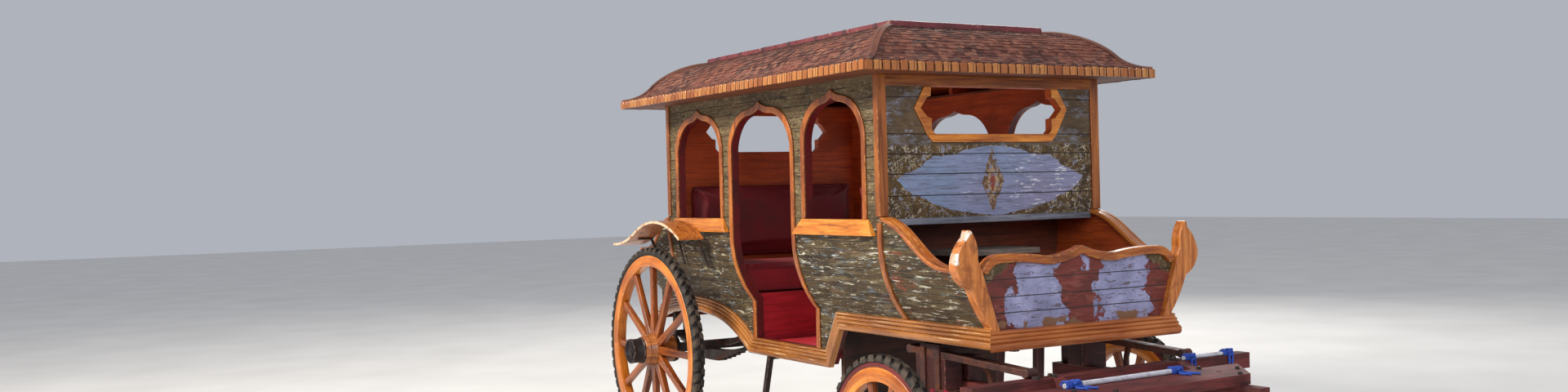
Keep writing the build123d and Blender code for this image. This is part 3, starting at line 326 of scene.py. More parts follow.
def finish_paint(pack, extra=None):
    s, col, height, fine, rough0, bump = pack
    rough = s.math("ADD", s.math("MULTIPLY", fine, 0.25), rough0 - 0.12)
    height = s.math("ADD", height, s.math("MULTIPLY", fine, 0.25))
    return s.done(col, rough, s.bump(height, bump, 0.0022))


ORANGE = varnish("varnished_orange", lin(96, 40, 10), lin(172, 90, 26), lin(204, 126, 48))
# painted light: a brighter, lit copy of the orange varnish for the sunlit window sills and frames
ORANGE_LIT = varnish("varnished_amber", lin(140, 66, 12), lin(212, 126, 34), lin(236, 160, 64), gloss=0.26, coat=0.3)
# mouldings: the pale streaks along the reed crests are painted highlight glints
MOULD_WOOD = varnish("moulding_wood", lin(122, 68, 26), lin(160, 98, 40), lin(190, 126, 62), gloss=0.20, coat=0.45, worn_and_glint_tone=lin(244, 214, 168), wear=0.6, lines=0.45, rub=2.2)
FRONT_MOULD = varnish("front_moulding_wood", lin(140, 70, 28), lin(184, 104, 48), lin(206, 130, 70), gloss=0.40, coat=0.12, wear=0.3, lines=0.3, rub=2.2)
POST_WOOD = varnish("post_wood", lin(98, 45, 11), lin(154, 83, 26), lin(184, 113, 45), gloss=0.34, coat=0.2, lines=0.6)
# painted shade: a darker copy of the cabin lining for the driver's backboard, which sits in shade
BACKBOARD_SHADE_WOOD = dull_wood("backboard_wood", lin(56, 22, 11), lin(104, 46, 25), lin(128, 64, 36), 0.6, 0.4)
BARREL_WOOD = varnish("hub_wood", lin(90, 40, 10), lin(156, 86, 28), lin(192, 120, 52), gloss=0.32, coat=0.25)
ORANGE_DULL = varnish("varnished_brown", lin(92, 44, 14), lin(150, 80, 30), lin(178, 104, 48), gloss=0.40, coat=0.15)
WHEEL_WOOD = varnish("wheel_wood", lin(140, 64, 12), lin(206, 114, 28), lin(232, 152, 58), gloss=0.30, worn_and_glint_tone=lin(246, 200, 136))
# spokes and front hubs: a darker copy of the wheel varnish than the sunlit rims, partly their own tone and partly
# painted shade
SPOKE_WOOD_SHADED = varnish("spoke_wood", lin(76, 30, 6), lin(134, 62, 14), lin(172, 96, 30), gloss=0.36, coat=0.2)
GUARD_WOOD = varnish("mudguard_wood", lin(120, 52, 18), lin(186, 96, 38), lin(208, 124, 62), gloss=0.34, coat=0.3,
                     worn_and_glint_tone=lin(236, 196, 150), wear=0.95)
MAROON = dull_wood("maroon_timber", lin(30, 8, 8), lin(66, 21, 19), lin(96, 38, 33), 0.62, 0.5, lin(52, 36, 30), 0.64,
                   edge_tone=lin(140, 84, 70))
# painted light: a lighter copy of the maroon timber for the sunlit futchells and cross bars
MAROON_LIT = dull_wood("maroon_bars", lin(50, 13, 12), lin(96, 32, 29), lin(120, 50, 44), 0.72, 0.45, lin(60, 34, 30), 0.67,
                       edge_tone=lin(150, 88, 74))
DARK_BOARD = dull_wood("dark_boards", lin(26, 14, 9), lin(62, 32, 20), lin(88, 48, 30), 0.6, 0.5, edge_tone=lin(120, 78, 52))
CABIN_WOOD = dull_wood("cabin_lining", lin(140, 56, 20), lin(192, 82, 28), lin(206, 100, 40), 0.6, 0.25)
MAROON_IN = dull_wood("maroon_lining", lin(54, 8, 10), lin(102, 14, 18), lin(126, 26, 28), 0.5, 0.3)
RED_BOARD = dull_wood("red_boards", lin(150, 22, 34), lin(196, 34, 50), lin(210, 54, 66), 0.74, 0.35, lin(120, 34, 34), 0.68,
                      edge_tone=lin(214, 92, 84))
GREY_BOARD = dull_wood("weathered_grey", lin(70, 62, 56), lin(124, 114, 104), lin(160, 150, 138), 0.75, 0.9)
GREY_PAINT = dull_wood("grey_bar", lin(66, 68, 76), lin(118, 122, 134), lin(150, 154, 168), 0.6, 0.4, lin(80, 70, 60), 0.64)
SOFFIT = dull_wood("soffit_boards", lin(60, 28, 14), lin(118, 60, 30), lin(148, 84, 46), 0.6, 0.4)
IRON = iron("old_iron")
DARK_IRON = iron("hub_iron", lin(24, 12, 12), lin(52, 22, 17), lin(58, 42, 38), 0.60, 0.1, 0.5)
BRONZE_IRON = iron("spring_iron", lin(78, 46, 40), lin(112, 62, 40), lin(140, 108, 90), 0.48, 0.2, 0.6)

CREAM, WHITE = lin(206, 200, 176), lin(228, 228, 226)
SIDE_PAINT = finish_paint(old_paint("side_paint", lin(82, 64, 34), lin(32, 22, 11), (
    (lin(118, 104, 74), 2.0, 3.0, 16.0, 0.52, 0.04, 1.0, 0.6),
    (lin(120, 64, 38), 1.6, 3.0, 8.0, 0.60, 0.04, 2.0, 0.5),
    (lin(104, 116, 124), 1.8, 5.0, 16.0, 0.565, 0.03, 3.0, 0.65),
    (lin(28, 20, 12), 2.0, 3.2, 36.0, 0.55, 0.03, 9.0, 0.85),
    (CREAM, 1.8, 5.5, 36.0, 0.602, 0.015, 4.0, 0.95),
    (WHITE, 2.0, 6.5, 42.0, 0.632, 0.010, 5.0, 0.95)), board=0.0405))
UPPER_PAINT = finish_paint(old_paint("upper_side_paint", lin(104, 84, 52), lin(48, 34, 18), (
    (lin(126, 110, 78), 2.2, 6.0, 14.0, 0.53, 0.05, 6.0, 0.7),
    (lin(32, 24, 14), 2.4, 8.0, 30.0, 0.59, 0.03, 16.0, 0.8),
    (lin(160, 144, 110), 3.0, 12.0, 34.0, 0.59, 0.02, 7.0, 0.85),
    (CREAM, 3.4, 14.0, 44.0, 0.64, 0.012, 8.0, 0.9)), board=0.055))
BOX_PAINT = finish_paint(old_paint("box_side_paint", lin(80, 62, 33), lin(30, 20, 10), (
    (lin(112, 98, 66), 2.0, 3.0, 14.0, 0.52, 0.04, 11.0, 0.6),
    (lin(140, 64, 40), 1.5, 3.0, 7.0, 0.575, 0.04, 12.0, 0.7),
    (lin(102, 112, 108), 1.8, 4.0, 12.0, 0.60, 0.03, 13.0, 0.6),
    (lin(28, 20, 12), 2.0, 4.0, 30.0, 0.56, 0.03, 17.0, 0.85),
    (CREAM, 1.6, 5.0, 32.0, 0.594, 0.012, 14.0, 0.95),
    (WHITE, 1.8, 5.5, 36.0, 0.625, 0.010, 15.0, 0.95)), board=0.0405))


def seam_lines(s, col, z, levels, half=0.0022):
    """Dark dirt in and beside the board seams at the given heights."""
    wav = s.math("MULTIPLY", s.math("SUBTRACT", s.noise(s.gc((6, 40, 40)), 2.0, 4, 0.6), 0.5), 0.002)
    for level in levels:
        d = s.math("ABSOLUTE", s.math("SUBTRACT", s.math("ADD", z, wav), level))
        col = s.mix(s.step(d, half * 0.6, half * 1.6, 0.9, 0.0), col, lin(30, 24, 18))
    return col


def front_panel():
    """Worn painted panel: a pale cusped lozenge between brown corners, with a generic rhombus in the middle."""
    pack = old_paint("front_panel_paint", lin(98, 78, 54), lin(50, 36, 20), (
        (lin(110, 110, 116), 2.0, 4.0, 8.0, 0.53, 0.05, 21.0, 0.75),
        (lin(84, 62, 28), 2.4, 4.0, 8.0, 0.55, 0.04, 22.0, 0.75),
        (lin(150, 156, 174), 2.6, 5.0, 12.0, 0.60, 0.03, 23.0, 0.8),
        (lin(206, 206, 210), 3.0, 9.0, 40.0, 0.66, 0.015, 24.0, 0.8)), rough0=0.55)
    s, col, height, fine, rough0, bump = pack
    x, y, z = s.xyz(s.obj())
    wob = s.math("SUBTRACT", s.noise(s.obj(), 26.0, 6, 0.65), 0.5)
    big = s.math("SUBTRACT", s.noise(s.obj(), 7.0, 3, 0.5), 0.5)
    ax = s.math("ABSOLUTE", x)
    # lower half of the wall: brown corners with worn pale tendrils
    zone = s.step(s.math("ADD", z, s.math("MULTIPLY", wob, 0.03)), 1.655, 1.668, 1.0, 0.0)
    brown = s.ramp(s.noise(s.obj(), 16.0, 6, 0.6), (0.35, lin(54, 38, 14)), (0.6, lin(92, 68, 26)), (0.75, lin(112, 88, 48)))
    curl = s.noise(s.mapped(s.obj(), (1, 1, 1.2)), 11.0, 3, 0.5, 4.2)
    line = s.math("ABSOLUTE", s.math("SUBTRACT", curl, 0.5))
    tendril = s.step(line, 0.010, 0.030, 1.0, 0.0)
    tendril = s.math("MULTIPLY", tendril, s.step(s.noise(s.obj(), 26.0, 5, 0.65), 0.44, 0.52))
    brown = s.mix(tendril, brown, lin(188, 176, 150))
    brown = s.mix(s.step(s.noise(s.obj(), 36.0, 7, 0.7), 0.57, 0.61, 0.0, 0.85), brown, lin(140, 142, 160))
    col = s.mix(zone, col, brown)
    # the lozenge: half heights above and below its long axis
    t = s.math("DIVIDE", ax, 0.56)
    up = s.math("MULTIPLY", s.curve(t, ((0, 1.0), (0.12, 0.97), (0.30, 0.88), (0.40, 0.74), (0.62, 0.70), (0.70, 0.56), (0.74, 0.40), (0.84, 0.24), (0.90, 0.20), (1, 0))), 0.155)
    dn = s.math("MULTIPLY", s.curve(t, ((0, 1.0), (0.40, 0.84), (0.62, 0.66), (0.70, 0.54), (0.86, 0.36), (0.93, 0.20), (1, 0))), 0.178)
    dz = s.math("ADD", s.math("SUBTRACT", z, 1.505), s.math("ADD", s.math("MULTIPLY", wob, 0.022), s.math("MULTIPLY", big, 0.01)))
    above = s.math("SUBTRACT", up, dz)
    below = s.math("ADD", dn, dz)
    inside = s.math("MINIMUM", above, below)
    mask = s.step(inside, 0.0, 0.004)
    tint = s.noise(s.obj(), 3.0, 4, 0.5)
    blue = s.ramp(s.math("ADD", tint, s.math("MULTIPLY", x, 0.35)), (0.30, lin(128, 148, 180)), (0.55, lin(140, 146, 180)), (0.80, lin(146, 140, 172)))
    rub = s.noise(s.gc((4, 60, 60), (31, 2, 8)), 2.4, 6, 0.65)
    blue = s.mix(s.step(rub, 0.48, 0.62, 0.0, 0.7), blue, lin(102, 106, 124))
    dots = s.noise(s.obj(), 70.0, 5, 0.6)
    blue = s.mix(s.step(dots, 0.64, 0.68, 0.0, 0.6), blue, lin(64, 74, 86))
    scr = s.noise(s.gc((9, 60, 60), (13, 5, 3)), 2.0, 7, 0.7)
    band = s.noise(s.obj(), 4.6, 2, 0.5)
    scr = s.math("MULTIPLY", s.step(scr, 0.575, 0.60), s.step(s.math("ADD", band, s.math("MULTIPLY", x, 0.5)), 0.50, 0.62))
    blue = s.mix(s.math("MULTIPLY", scr, 0.95), blue, lin(236, 236, 240))
    col = s.mix(mask, col, blue)
    # rhombus with a pale core and a rounded heart, all worn through
    rx = s.math("DIVIDE", s.math("ABSOLUTE", s.math("ADD", x, 0.008)), 0.070)
    rz = s.math("DIVIDE", s.math("ABSOLUTE", s.math("SUBTRACT", z, 1.492)), 0.150)
    rh = s.math("ADD", s.math("ADD", rx, rz), s.math("MULTIPLY", wob, 0.45))
    gone = s.step(s.noise(s.obj(), 34.0, 6, 0.7), 0.40, 0.46)
    ring = s.mix(s.step(s.noise(s.obj(), 60.0, 5, 0.7), 0.50, 0.58), lin(104, 74, 44), lin(164, 140, 120))
    core = s.mix(s.step(s.noise(s.obj(), 90.0, 4, 0.6), 0.48, 0.60), lin(176, 150, 118), lin(120, 92, 56))
    motif = s.mix(s.step(rh, 0.52, 0.60), core, ring)
    motif = s.mix(s.step(rh, 0.26, 0.32, 1.0, 0.0), motif, lin(138, 62, 48))
    col = s.mix(s.math("MULTIPLY", s.step(rh, 0.94, 1.02, 1.0, 0.0), gone), col, motif)
    col = seam_lines(s, col, z, (1.432, 1.530, 1.621, 1.7125, 1.880))
    height = s.math("ADD", height, s.math("MULTIPLY", mask, 0.5))
    return finish_paint((s, col, height, fine, rough0, 0.6))


def dash_panel_paint():
    """Oxide red boards with large lavender patches and brown upper corners."""
    pack = old_paint("dash_paint", lin(116, 46, 38), lin(66, 26, 22), (
        (lin(138, 72, 60), 2.0, 4.0, 12.0, 0.54, 0.06, 31.0, 0.7),
        (lin(52, 30, 22), 2.2, 5.0, 22.0, 0.60, 0.03, 32.0, 0.8)), rough0=0.55)
    s, col, height, fine, rough0, bump = pack
    x, y, z = s.xyz(s.obj())
    wob = s.math("SUBTRACT", s.noise(s.obj(), 30.0, 7, 0.68), 0.5)
    block = s.noise(s.mapped(s.obj(), (6.0, 1.0, 2.4), (0.37, 0.0, 0.21)), 1.0, 3, 0.5)
    block = s.math("ADD", block, s.math("MULTIPLY", wob, 0.22))
    # the lavender survives in two broad patches and a few islands
    near = s.step(s.math("ABSOLUTE", s.math("ADD", x, 0.235)), 0.0, 0.250, 1.0, 0.0)
    far = s.step(s.math("ABSOLUTE", s.math("SUBTRACT", x, 0.255)), 0.0, 0.280, 1.0, 0.0)
    ragged = s.math("SUBTRACT", s.noise(s.mapped(s.obj(), (9.0, 1.0, 11.0), (0.13, 0.0, 0.47)), 1.0, 5, 0.6), 0.5)
    broad = s.math("ADD", s.math("MAXIMUM", near, far), s.math("MULTIPLY", ragged, 1.9))
    broad = s.math("ADD", broad, s.math("MULTIPLY", wob, 0.45))
    pale = s.math("MAXIMUM", s.step(broad, 0.47, 0.50), s.step(block, 0.575, 0.59))
    edge_free = s.step(s.math("ADD", s.math("ABSOLUTE", x), s.math("MULTIPLY", wob, 0.12)), 0.430, 0.437, 1.0, 0.0)
    pale = s.math("MULTIPLY", pale, edge_free)
    lav = s.ramp(s.noise(s.obj(), 10.0, 5, 0.6), (0.3, lin(118, 120, 152)), (0.6, lin(154, 155, 192)), (0.8, lin(178, 178, 208)))
    lav = s.mix(s.step(s.noise(s.obj(), 60.0, 6, 0.7), 0.60, 0.66, 0.0, 0.8), lav, lin(120, 66, 60))
    lav = s.mix(s.step(s.noise(s.mapped(s.obj(), (9.0, 9.0, 34.0)), 2.0, 7, 0.68, 0.5), 0.57, 0.60, 0.0, 0.75), lav, lin(86, 62, 58))
    col = s.mix(pale, col, lav)
    # brown leafy corners
    ax = s.math("ABSOLUTE", x)
    corner = s.math("ADD", s.math("MULTIPLY", ax, 0.55), s.math("ADD", z, s.math("MULTIPLY", wob, 0.09)))
    cm = s.step(corner, 1.345, 1.352)
    leaf = s.ramp(s.noise(s.obj(), 24.0, 5, 0.6, 2.0), (0.35, lin(58, 44, 24)), (0.55, lin(92, 74, 40)), (0.7, lin(140, 124, 110)))
    col = s.mix(cm, col, leaf)
    low = s.step(s.math("ADD", z, s.math("MULTIPLY", wob, 0.05)), 0.895, 0.905, 1.0, 0.0)
    low = s.math("MULTIPLY", low, s.step(s.noise(s.obj(), 9.0, 4, 0.6), 0.50, 0.56))
    col = s.mix(low, col, lin(124, 88, 62))
    col = seam_lines(s, col, z, (0.934, 1.001, 1.075))
    height = s.math("ADD", height, s.math("MULTIPLY", pale, 0.5))
    return finish_paint((s, col, height, fine, rough0, 0.6))


FRONT_PAINT = front_panel()
DASH_PAINT = dash_panel_paint()


def shingle_material():
    s = Shade("shingle_wood")
    r = s.attr("rnd", "Fac")
    grain = s.noise(s.gc((16, 160, 160)), 2.0, 6, 0.65, 0.3)
    tone = s.ramp(r, (0.0, lin(66, 36, 32)), (0.35, lin(100, 58, 50)), (0.62, lin(124, 76, 62)), (0.85, lin(148, 96, 76)), (1.0, lin(92, 72, 66)))
    broad = s.noise(s.obj(), 2.4, 5, 0.6)
    tone = s.mix(s.step(broad, 0.42, 0.66, 0.0, 0.55), tone, lin(150, 84, 62))
    tone = s.mix(s.step(grain, 0.48, 0.68, 0.0, 0.7), tone, lin(54, 30, 26))
    moss = s.noise(s.obj(), 22.0, 6, 0.7)
    tone = s.mix(s.step(moss, 0.60, 0.68, 0.0, 0.6), tone, lin(134, 120, 108))
    tone = s.mix(s.math("MULTIPLY", s.attr("edge", "Fac"), 0.6), tone, lin(46, 26, 22))
    return s.done(tone, s.step(grain, 0.3, 0.7, 0.7, 0.9), s.bump(grain, 0.8, 0.002))


SHINGLE = shingle_material()
HIP = dull_wood("hip_boards", lin(62, 34, 26), lin(112, 66, 52), lin(140, 92, 74), 0.75, 0.8, lin(84, 52, 42), 0.60)


def cap_material():
    s = Shade("cap_sheet", Metallic=0.0, Coat_Weight=0.15, Coat_Roughness=0.3)
    patch = s.noise(s.obj(), 4.0, 6, 0.6)
    fine = s.noise(s.obj(), 90.0, 6, 0.7)
    col = s.ramp(patch, (0.30, lin(98, 32, 38)), (0.52, lin(116, 42, 47)), (0.74, lin(130, 56, 58)))
    col = s.mix(s.step(fine, 0.60, 0.68, 0.0, 0.6), col, lin(66, 30, 28))
    col = s.mix(s.step(s.noise(s.obj(), 18.0, 7, 0.7), 0.61, 0.64, 0.0, 0.8), col, lin(176, 140, 128))
    # rain streaks down the fall, grime along the standing seams
    x, y, z = s.xyz(s.obj())
    streak = s.noise(s.mapped(s.obj(), (3.0, 34.0, 3.0)), 1.4, 6, 0.62, 0.3)
    col = s.mix(s.step(streak, 0.50, 0.66, 0.0, 0.6), col, lin(78, 32, 34))
    col = s.mix(s.step(streak, 0.32, 0.44, 0.4, 0.0), col, lin(146, 92, 88))
    f = s.math("FRACT", s.math("ADD", s.math("DIVIDE", s.math("ADD", y, 0.4213), 0.268), 0.5))
    d = s.math("MULTIPLY", s.math("ABSOLUTE", s.math("SUBTRACT", f, 0.5)), 0.268)
    grime = s.math("MULTIPLY", s.step(d, 0.007, 0.036, 0.9, 0.0), s.step(s.noise(s.obj(), 24.0, 5, 0.6), 0.34, 0.60, 0.45, 1.0))
    col = s.mix(grime, col, lin(50, 24, 24))
    lip = s.math("MULTIPLY", s.attr("edge", "Fac"), s.step(s.noise(s.obj(), 14.0, 5, 0.6), 0.36, 0.50))
    col = s.mix(lip, col, lin(232, 214, 196))
    return s.done(col, s.step(patch, 0.3, 0.7, 0.36, 0.6), s.bump(fine, 0.3, 0.001))


CAP = cap_material()


def slat_material():
    s = Shade("fascia_slats", Coat_Weight=0.3, Coat_Roughness=0.15)
    r = s.attr("rnd", "Fac")
    grain = s.noise(s.gc((3, 60, 60)), 2.4, 6, 0.65, 0.4)
    tone = s.ramp(r, (0.0, lin(144, 76, 29)), (0.4, lin(178, 110, 50)), (0.75, lin(196, 132, 68)), (1.0, lin(156, 87, 38)))
    tone = s.mix(s.step(grain, 0.46, 0.70, 0.0, 0.55), tone, lin(116, 58, 22))
    # a narrow dark line runs down some of the slats
    gx, gy, gz = s.xyz(s.attr("gc"))
    line = s.step(s.math("ABSOLUTE", s.math("SUBTRACT", gy, 0.006)), 0.0016, 0.003, 1.0, 0.0)
    line = s.math("MULTIPLY", line, s.step(r, 0.42, 0.46))
    tone = s.mix(s.math("MULTIPLY", line, 0.85), tone, lin(70, 32, 14))
    # painted shade: the sides of the slats, down in the gaps between them, are darkened
    tone = s.mix(s.math("MULTIPLY", s.attr("edge", "Fac"), 0.55), tone, lin(96, 44, 16))
    return s.done(tone, s.step(grain, 0.3, 0.7, 0.28, 0.5), s.bump(grain, 0.3, 0.001))


SLAT = slat_material()
# painted shade: the backing board is near black, for the shade in the gaps between the slats
SLAT_BACK_SHADE = dull_wood("fascia_board", lin(22, 8, 3), lin(46, 18, 6), lin(66, 28, 10), 0.6, 0.4)


def rubber():
    s = Shade("tyre_rubber")
    dust = s.noise(s.obj(), 14.0, 6, 0.65)
    fine = s.noise(s.obj(), 240.0, 4, 0.6)
    col = s.ramp(dust, (0.32, lin(17, 13, 12)), (0.55, lin(30, 24, 20)), (0.75, lin(60, 48, 38)))
    lug = s.attr("rnd", "Fac")
    col = s.mix(s.math("MULTIPLY", lug, s.step(dust, 0.38, 0.62, 0.05, 0.6)), col, lin(96, 82, 68))
    return s.done(col, s.step(dust, 0.3, 0.7, 0.62, 0.85), s.bump(fine, 0.35, 0.0012))


RUBBER = rubber()


def seat_cover(name="seat_cover", painted_shade_dim=1.0):
    s = Shade(name, Sheen_Weight=0.12, Sheen_Roughness=0.4)
    grain = s.cells(s.obj(), 520.0, "DISTANCE_TO_EDGE", "Distance")
    broad = s.noise(s.obj(), 5.0, 5, 0.6)
    fine = s.noise(s.obj(), 60.0, 5, 0.6)
    # painted shade: a factor below 1 darkens the cloth, for the seat backs
    col = s.ramp(broad, (0.30, lin(110 * painted_shade_dim, 10, 22 * painted_shade_dim)), (0.52, lin(146 * painted_shade_dim, 14, 32 * painted_shade_dim)), (0.74, lin(164 * painted_shade_dim, 26 * painted_shade_dim, 42 * painted_shade_dim)))
    col = s.mix(s.step(fine, 0.58, 0.72, 0.0, 0.5), col, lin(84, 8, 18))
    col = s.mix(s.math("MULTIPLY", s.attr("edge", "Fac"), 0.6), col, lin(96, 10, 22))
    h = s.math("ADD", s.step(grain, 0.0, 0.12), s.math("MULTIPLY", fine, 0.6))
    return s.done(col, s.step(broad, 0.3, 0.7, 0.5, 0.68), s.bump(h, 0.35, 0.0006))


SEAT = seat_cover()
# painted shade: the seat backs take the seat cloth darkened to 0.74
SEAT_BACK_SHADED = seat_cover("seat_back_cover", 0.74)


def pole_paint():
    s = Shade("white_pole_paint")
    n = s.noise(s.gc((6, 30, 30)), 3.0, 7, 0.68)
    col = s.ramp(n, (0.30, lin(150, 146, 150)), (0.50, lin(206, 206, 216)), (0.8, lin(232, 232, 240)))
    col = s.mix(s.step(s.noise(s.gc((12, 50, 50), (3, 2, 1)), 2.4, 7, 0.7), 0.62, 0.65, 0.0, 0.85), col, lin(96, 72, 60))
    return s.done(col, 0.45, s.bump(n, 0.3, 0.0008))


POLE = pole_paint()


def rope_material():
    s = Shade("blue_rope")
    fibre = s.noise(s.gc((40, 260, 260)), 2.5, 5, 0.65)
    twist = s.noise(s.gc((180, 60, 60)), 1.6, 2, 0.5)
    col = s.ramp(fibre, (0.3, lin(14, 36, 104)), (0.55, lin(32, 76, 178)), (0.8, lin(92, 132, 214)))
    return s.done(col, 0.7, s.bump(s.math("ADD", fibre, twist), 0.6, 0.0012))


ROPE = rope_material()
RED_PAINT = iron("red_disc_paint", lin(140, 14, 44), lin(96, 40, 40), lin(150, 90, 84), 0.66, 0.0, 0.45)

SLOT_OF = {}
for entry in frame["record"]["subparts"]:
    SLOT_OF[entry["node"]] = entry["material_slot"]


# ---------------------------------------------------------------- mesh helpers
def set_attr(me, name, kind, domain, values):
    a = me.attributes.get(name)
    if a is not None:
        me.attributes.remove(a)
    a = me.attributes.new(name, kind, domain)
    a.data.foreach_set("vector" if kind == "FLOAT_VECTOR" else "value", np.asarray(values, np.float32).ravel())


def coords(me):
    co = np.zeros(len(me.vertices) * 3, np.float32)
    me.vertices.foreach_get("co", co)
    return co.reshape(-1, 3)


GRAIN = {"x": (0, 1, 2), "y": (1, 0, 2), "z": (2, 0, 1)}


def grain(o, axis):
    """Grain coordinate straight along one axis of the frame."""
    me = o.data
    co = coords(me)
    off = (sum(ord(c) for c in o.name) % 97) * 0.137
    set_attr(me, "gc", "FLOAT_VECTOR", "POINT", co[:, list(GRAIN[axis])] + off)


def ensure_attrs(o):
    me = o.data
    if me.attributes.get("edge") is None:
        set_attr(me, "edge", "FLOAT", "FACE", np.zeros(len(me.polygons)))
    if me.attributes.get("rnd") is None:
        set_attr(me, "rnd", "FLOAT", "FACE", np.full(len(me.polygons), 0.5))
    if me.attributes.get("gc") is None:
        grain(o, "x")


def make(name, verts, faces, mats, smooth=True, gc=None, edge=None, rnd=None, mat_index=None):
    me = bpy.data.meshes.new(name)
    me.from_pydata([tuple(v) for v in verts], [], [tuple(f) for f in faces])
    me.update()
    o = bpy.data.objects.new(name, me)
    bpy.context.scene.collection.objects.link(o)
    for m in (mats if isinstance(mats, (list, tuple)) else [mats]):
        me.materials.append(m)
    if smooth:
        me.polygons.foreach_set("use_smooth", [True] * len(me.polygons))
    if gc is not None:
        set_attr(me, "gc", "FLOAT_VECTOR", "POINT", gc)
    if edge is not None:
        set_attr(me, "edge", "FLOAT", "FACE", edge)
    if rnd is not None:
        set_attr(me, "rnd", "FLOAT", "FACE", rnd)
    if mat_index is not None:
        me.polygons.foreach_set("material_index", mat_index)
    ensure_attrs(o)
    return o


def place(o, body, slot, *replaced):
    ensure_attrs(o)
    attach(o, body)
    if replaced:
        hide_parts(*replaced)
    return o


def apply_all(o):
    dg = bpy.context.evaluated_depsgraph_get()
    me = bpy.data.meshes.new_from_object(o.evaluated_get(dg), preserve_all_data_layers=True, depsgraph=dg)
    old = o.data
    o.modifiers.clear()
    o.data = me
    me.name = o.name
    bpy.data.meshes.remove(old)


def sharp_by_angle(o, degrees):
    me = o.data
    me.polygons.foreach_set("use_smooth", [True] * len(me.polygons))
    me.set_sharp_from_angle(angle=math.radians(degrees))


def shape_from(node_names, name, grooves=None):
    """A clean copy of CAD nodes: doubled points joined, flat areas dissolved, thin grooves cut if given."""
    bm = bmesh.new()
    for n in node_names:
        bm.from_mesh(nodes[n].data)
    bmesh.ops.remove_doubles(bm, verts=bm.verts, dist=2e-5)
    me = bpy.data.meshes.new(name)
    if grooves is None:
        bmesh.ops.dissolve_limit(bm, angle_limit=math.radians(0.6), verts=bm.verts, edges=bm.edges)
    bm.to_mesh(me)
    bm.free()
    me.materials.clear()
    o = bpy.data.objects.new(name, me)
    bpy.context.scene.collection.objects.link(o)
    if grooves is not None:
        mod = o.modifiers.new("cut", "BOOLEAN")
        mod.operation = "DIFFERENCE"
        mod.solver = "EXACT"
        mod.object = grooves
        apply_all(o)
        bpy.data.objects.remove(grooves)
        bm = bmesh.new()
        bm.from_mesh(o.data)
        bmesh.ops.remove_doubles(bm, verts=bm.verts, dist=2e-5)
        bmesh.ops.dissolve_limit(bm, angle_limit=math.radians(0.6), verts=bm.verts, edges=bm.edges)
        bm.to_mesh(o.data)
        bm.free()
    return o


def soften(o, width, segs=2, angle=34.0):
    """Round the hard edges and mark the rounded strips, for wear."""
    me = o.data
    keep = [bpy.data.materials.get("bev_a") or bpy.data.materials.new("bev_a"),
            bpy.data.materials.get("bev_b") or bpy.data.materials.new("bev_b")]
    me.materials.clear()
    for m in keep:
        me.materials.append(m)
    me.polygons.foreach_set("material_index", [0] * len(me.polygons))
    b = o.modifiers.new("round", "BEVEL")
    b.width = width
    b.segments = segs
    b.limit_method = "ANGLE"
    b.angle_limit = math.radians(angle)
    b.use_clamp_overlap = True
    b.material = 1
    apply_all(o)
    me = o.data
    idx = np.zeros(len(me.polygons), np.int32)
    me.polygons.foreach_get("material_index", idx)
    set_attr(me, "edge", "FLOAT", "FACE", (idx == 1).astype(float))
    me.polygons.foreach_set("material_index", np.zeros(len(me.polygons), np.int32))
    me.polygons.foreach_set("use_smooth", [True] * len(me.polygons))
    me.materials.clear()
    w = o.modifiers.new("normals", "WEIGHTED_NORMAL")
    w.weight = 90
    w.keep_sharp = True
    apply_all(o)
    return o


def soft_node(node, mats, axis, width=0.003, segs=2, body=BODY, pick=None, grooves=None, name=None, angle=34.0):
    """Softened stand-in for a CAD node. pick(normal, centre) gives the material index of a face."""
    o = shape_from([node], name or node + "_wood", grooves)
    soften(o, width, segs, angle)
    grain(o, axis)
    for m in (mats if isinstance(mats, (list, tuple)) else [mats]):
        o.data.materials.append(m)
    if pick is not None:
        o.data.polygons.foreach_set("material_index", [pick(p.normal, p.center) for p in o.data.polygons])
    return place(o, body, SLOT_OF[node], node)


def dress(node, mat, axis=None):
    """A CAD node that stays gets its material, and reads its grain from the same attribute."""
    o = nodes[node]
    o.data.materials.clear()
    o.data.materials.append(mat)
    co = coords(o.data)
    set_attr(o.data, "gc", "FLOAT_VECTOR", "POINT", co[:, list(GRAIN[axis or "x"])])


def arc3(a, m, b, n):
    """n + 1 points on the arc from a to b through m."""
    ax, ay = a; mx, my = m; bx, by = b
    d = 2 * (ax * (my - by) + mx * (by - ay) + bx * (ay - my))
    ux = ((ax * ax + ay * ay) * (my - by) + (mx * mx + my * my) * (by - ay) + (bx * bx + by * by) * (ay - my)) / d
    uy = ((ax * ax + ay * ay) * (bx - mx) + (mx * mx + my * my) * (ax - bx) + (bx * bx + by * by) * (mx - ax)) / d
    r = math.hypot(ax - ux, ay - uy)
    t0 = math.atan2(ay - uy, ax - ux)
    tm = math.atan2(my - uy, mx - ux)
    t1 = math.atan2(by - uy, bx - ux)
    two = 2 * math.pi
    up = (tm - t0) % two <= (t1 - t0) % two
    span = (t1 - t0) % two if up else -((t0 - t1) % two)
    return [(ux + r * math.cos(t0 + span * i / n), uy + r * math.sin(t0 + span * i / n)) for i in range(n + 1)]


def join_paths(*parts):
    out = []
    for p in parts:
        for q in p:
            if not out or math.hypot(q[0] - out[-1][0], q[1] - out[-1][1]) > 1e-6:
                out.append(q)
    return out


def miters(path, left=True):
    """Unit-offset direction at each point of a 2D path (mitred), on its left side."""
    out = []
    n = len(path)
    for i in range(n):
        d0 = d1 = None
        if i > 0:
            d0 = Vector((path[i][0] - path[i - 1][0], path[i][1] - path[i - 1][1])).normalized()
        if i < n - 1:
            d1 = Vector((path[i + 1][0] - path[i][0], path[i + 1][1] - path[i][1])).normalized()
        d0 = d0 or d1
        d1 = d1 or d0
        n0, n1 = Vector((-d0.y, d0.x)), Vector((-d1.y, d1.x))
        v = (n0 + n1) / (1 + n0.dot(n1))
        out.append(v if left else -v)
    return out


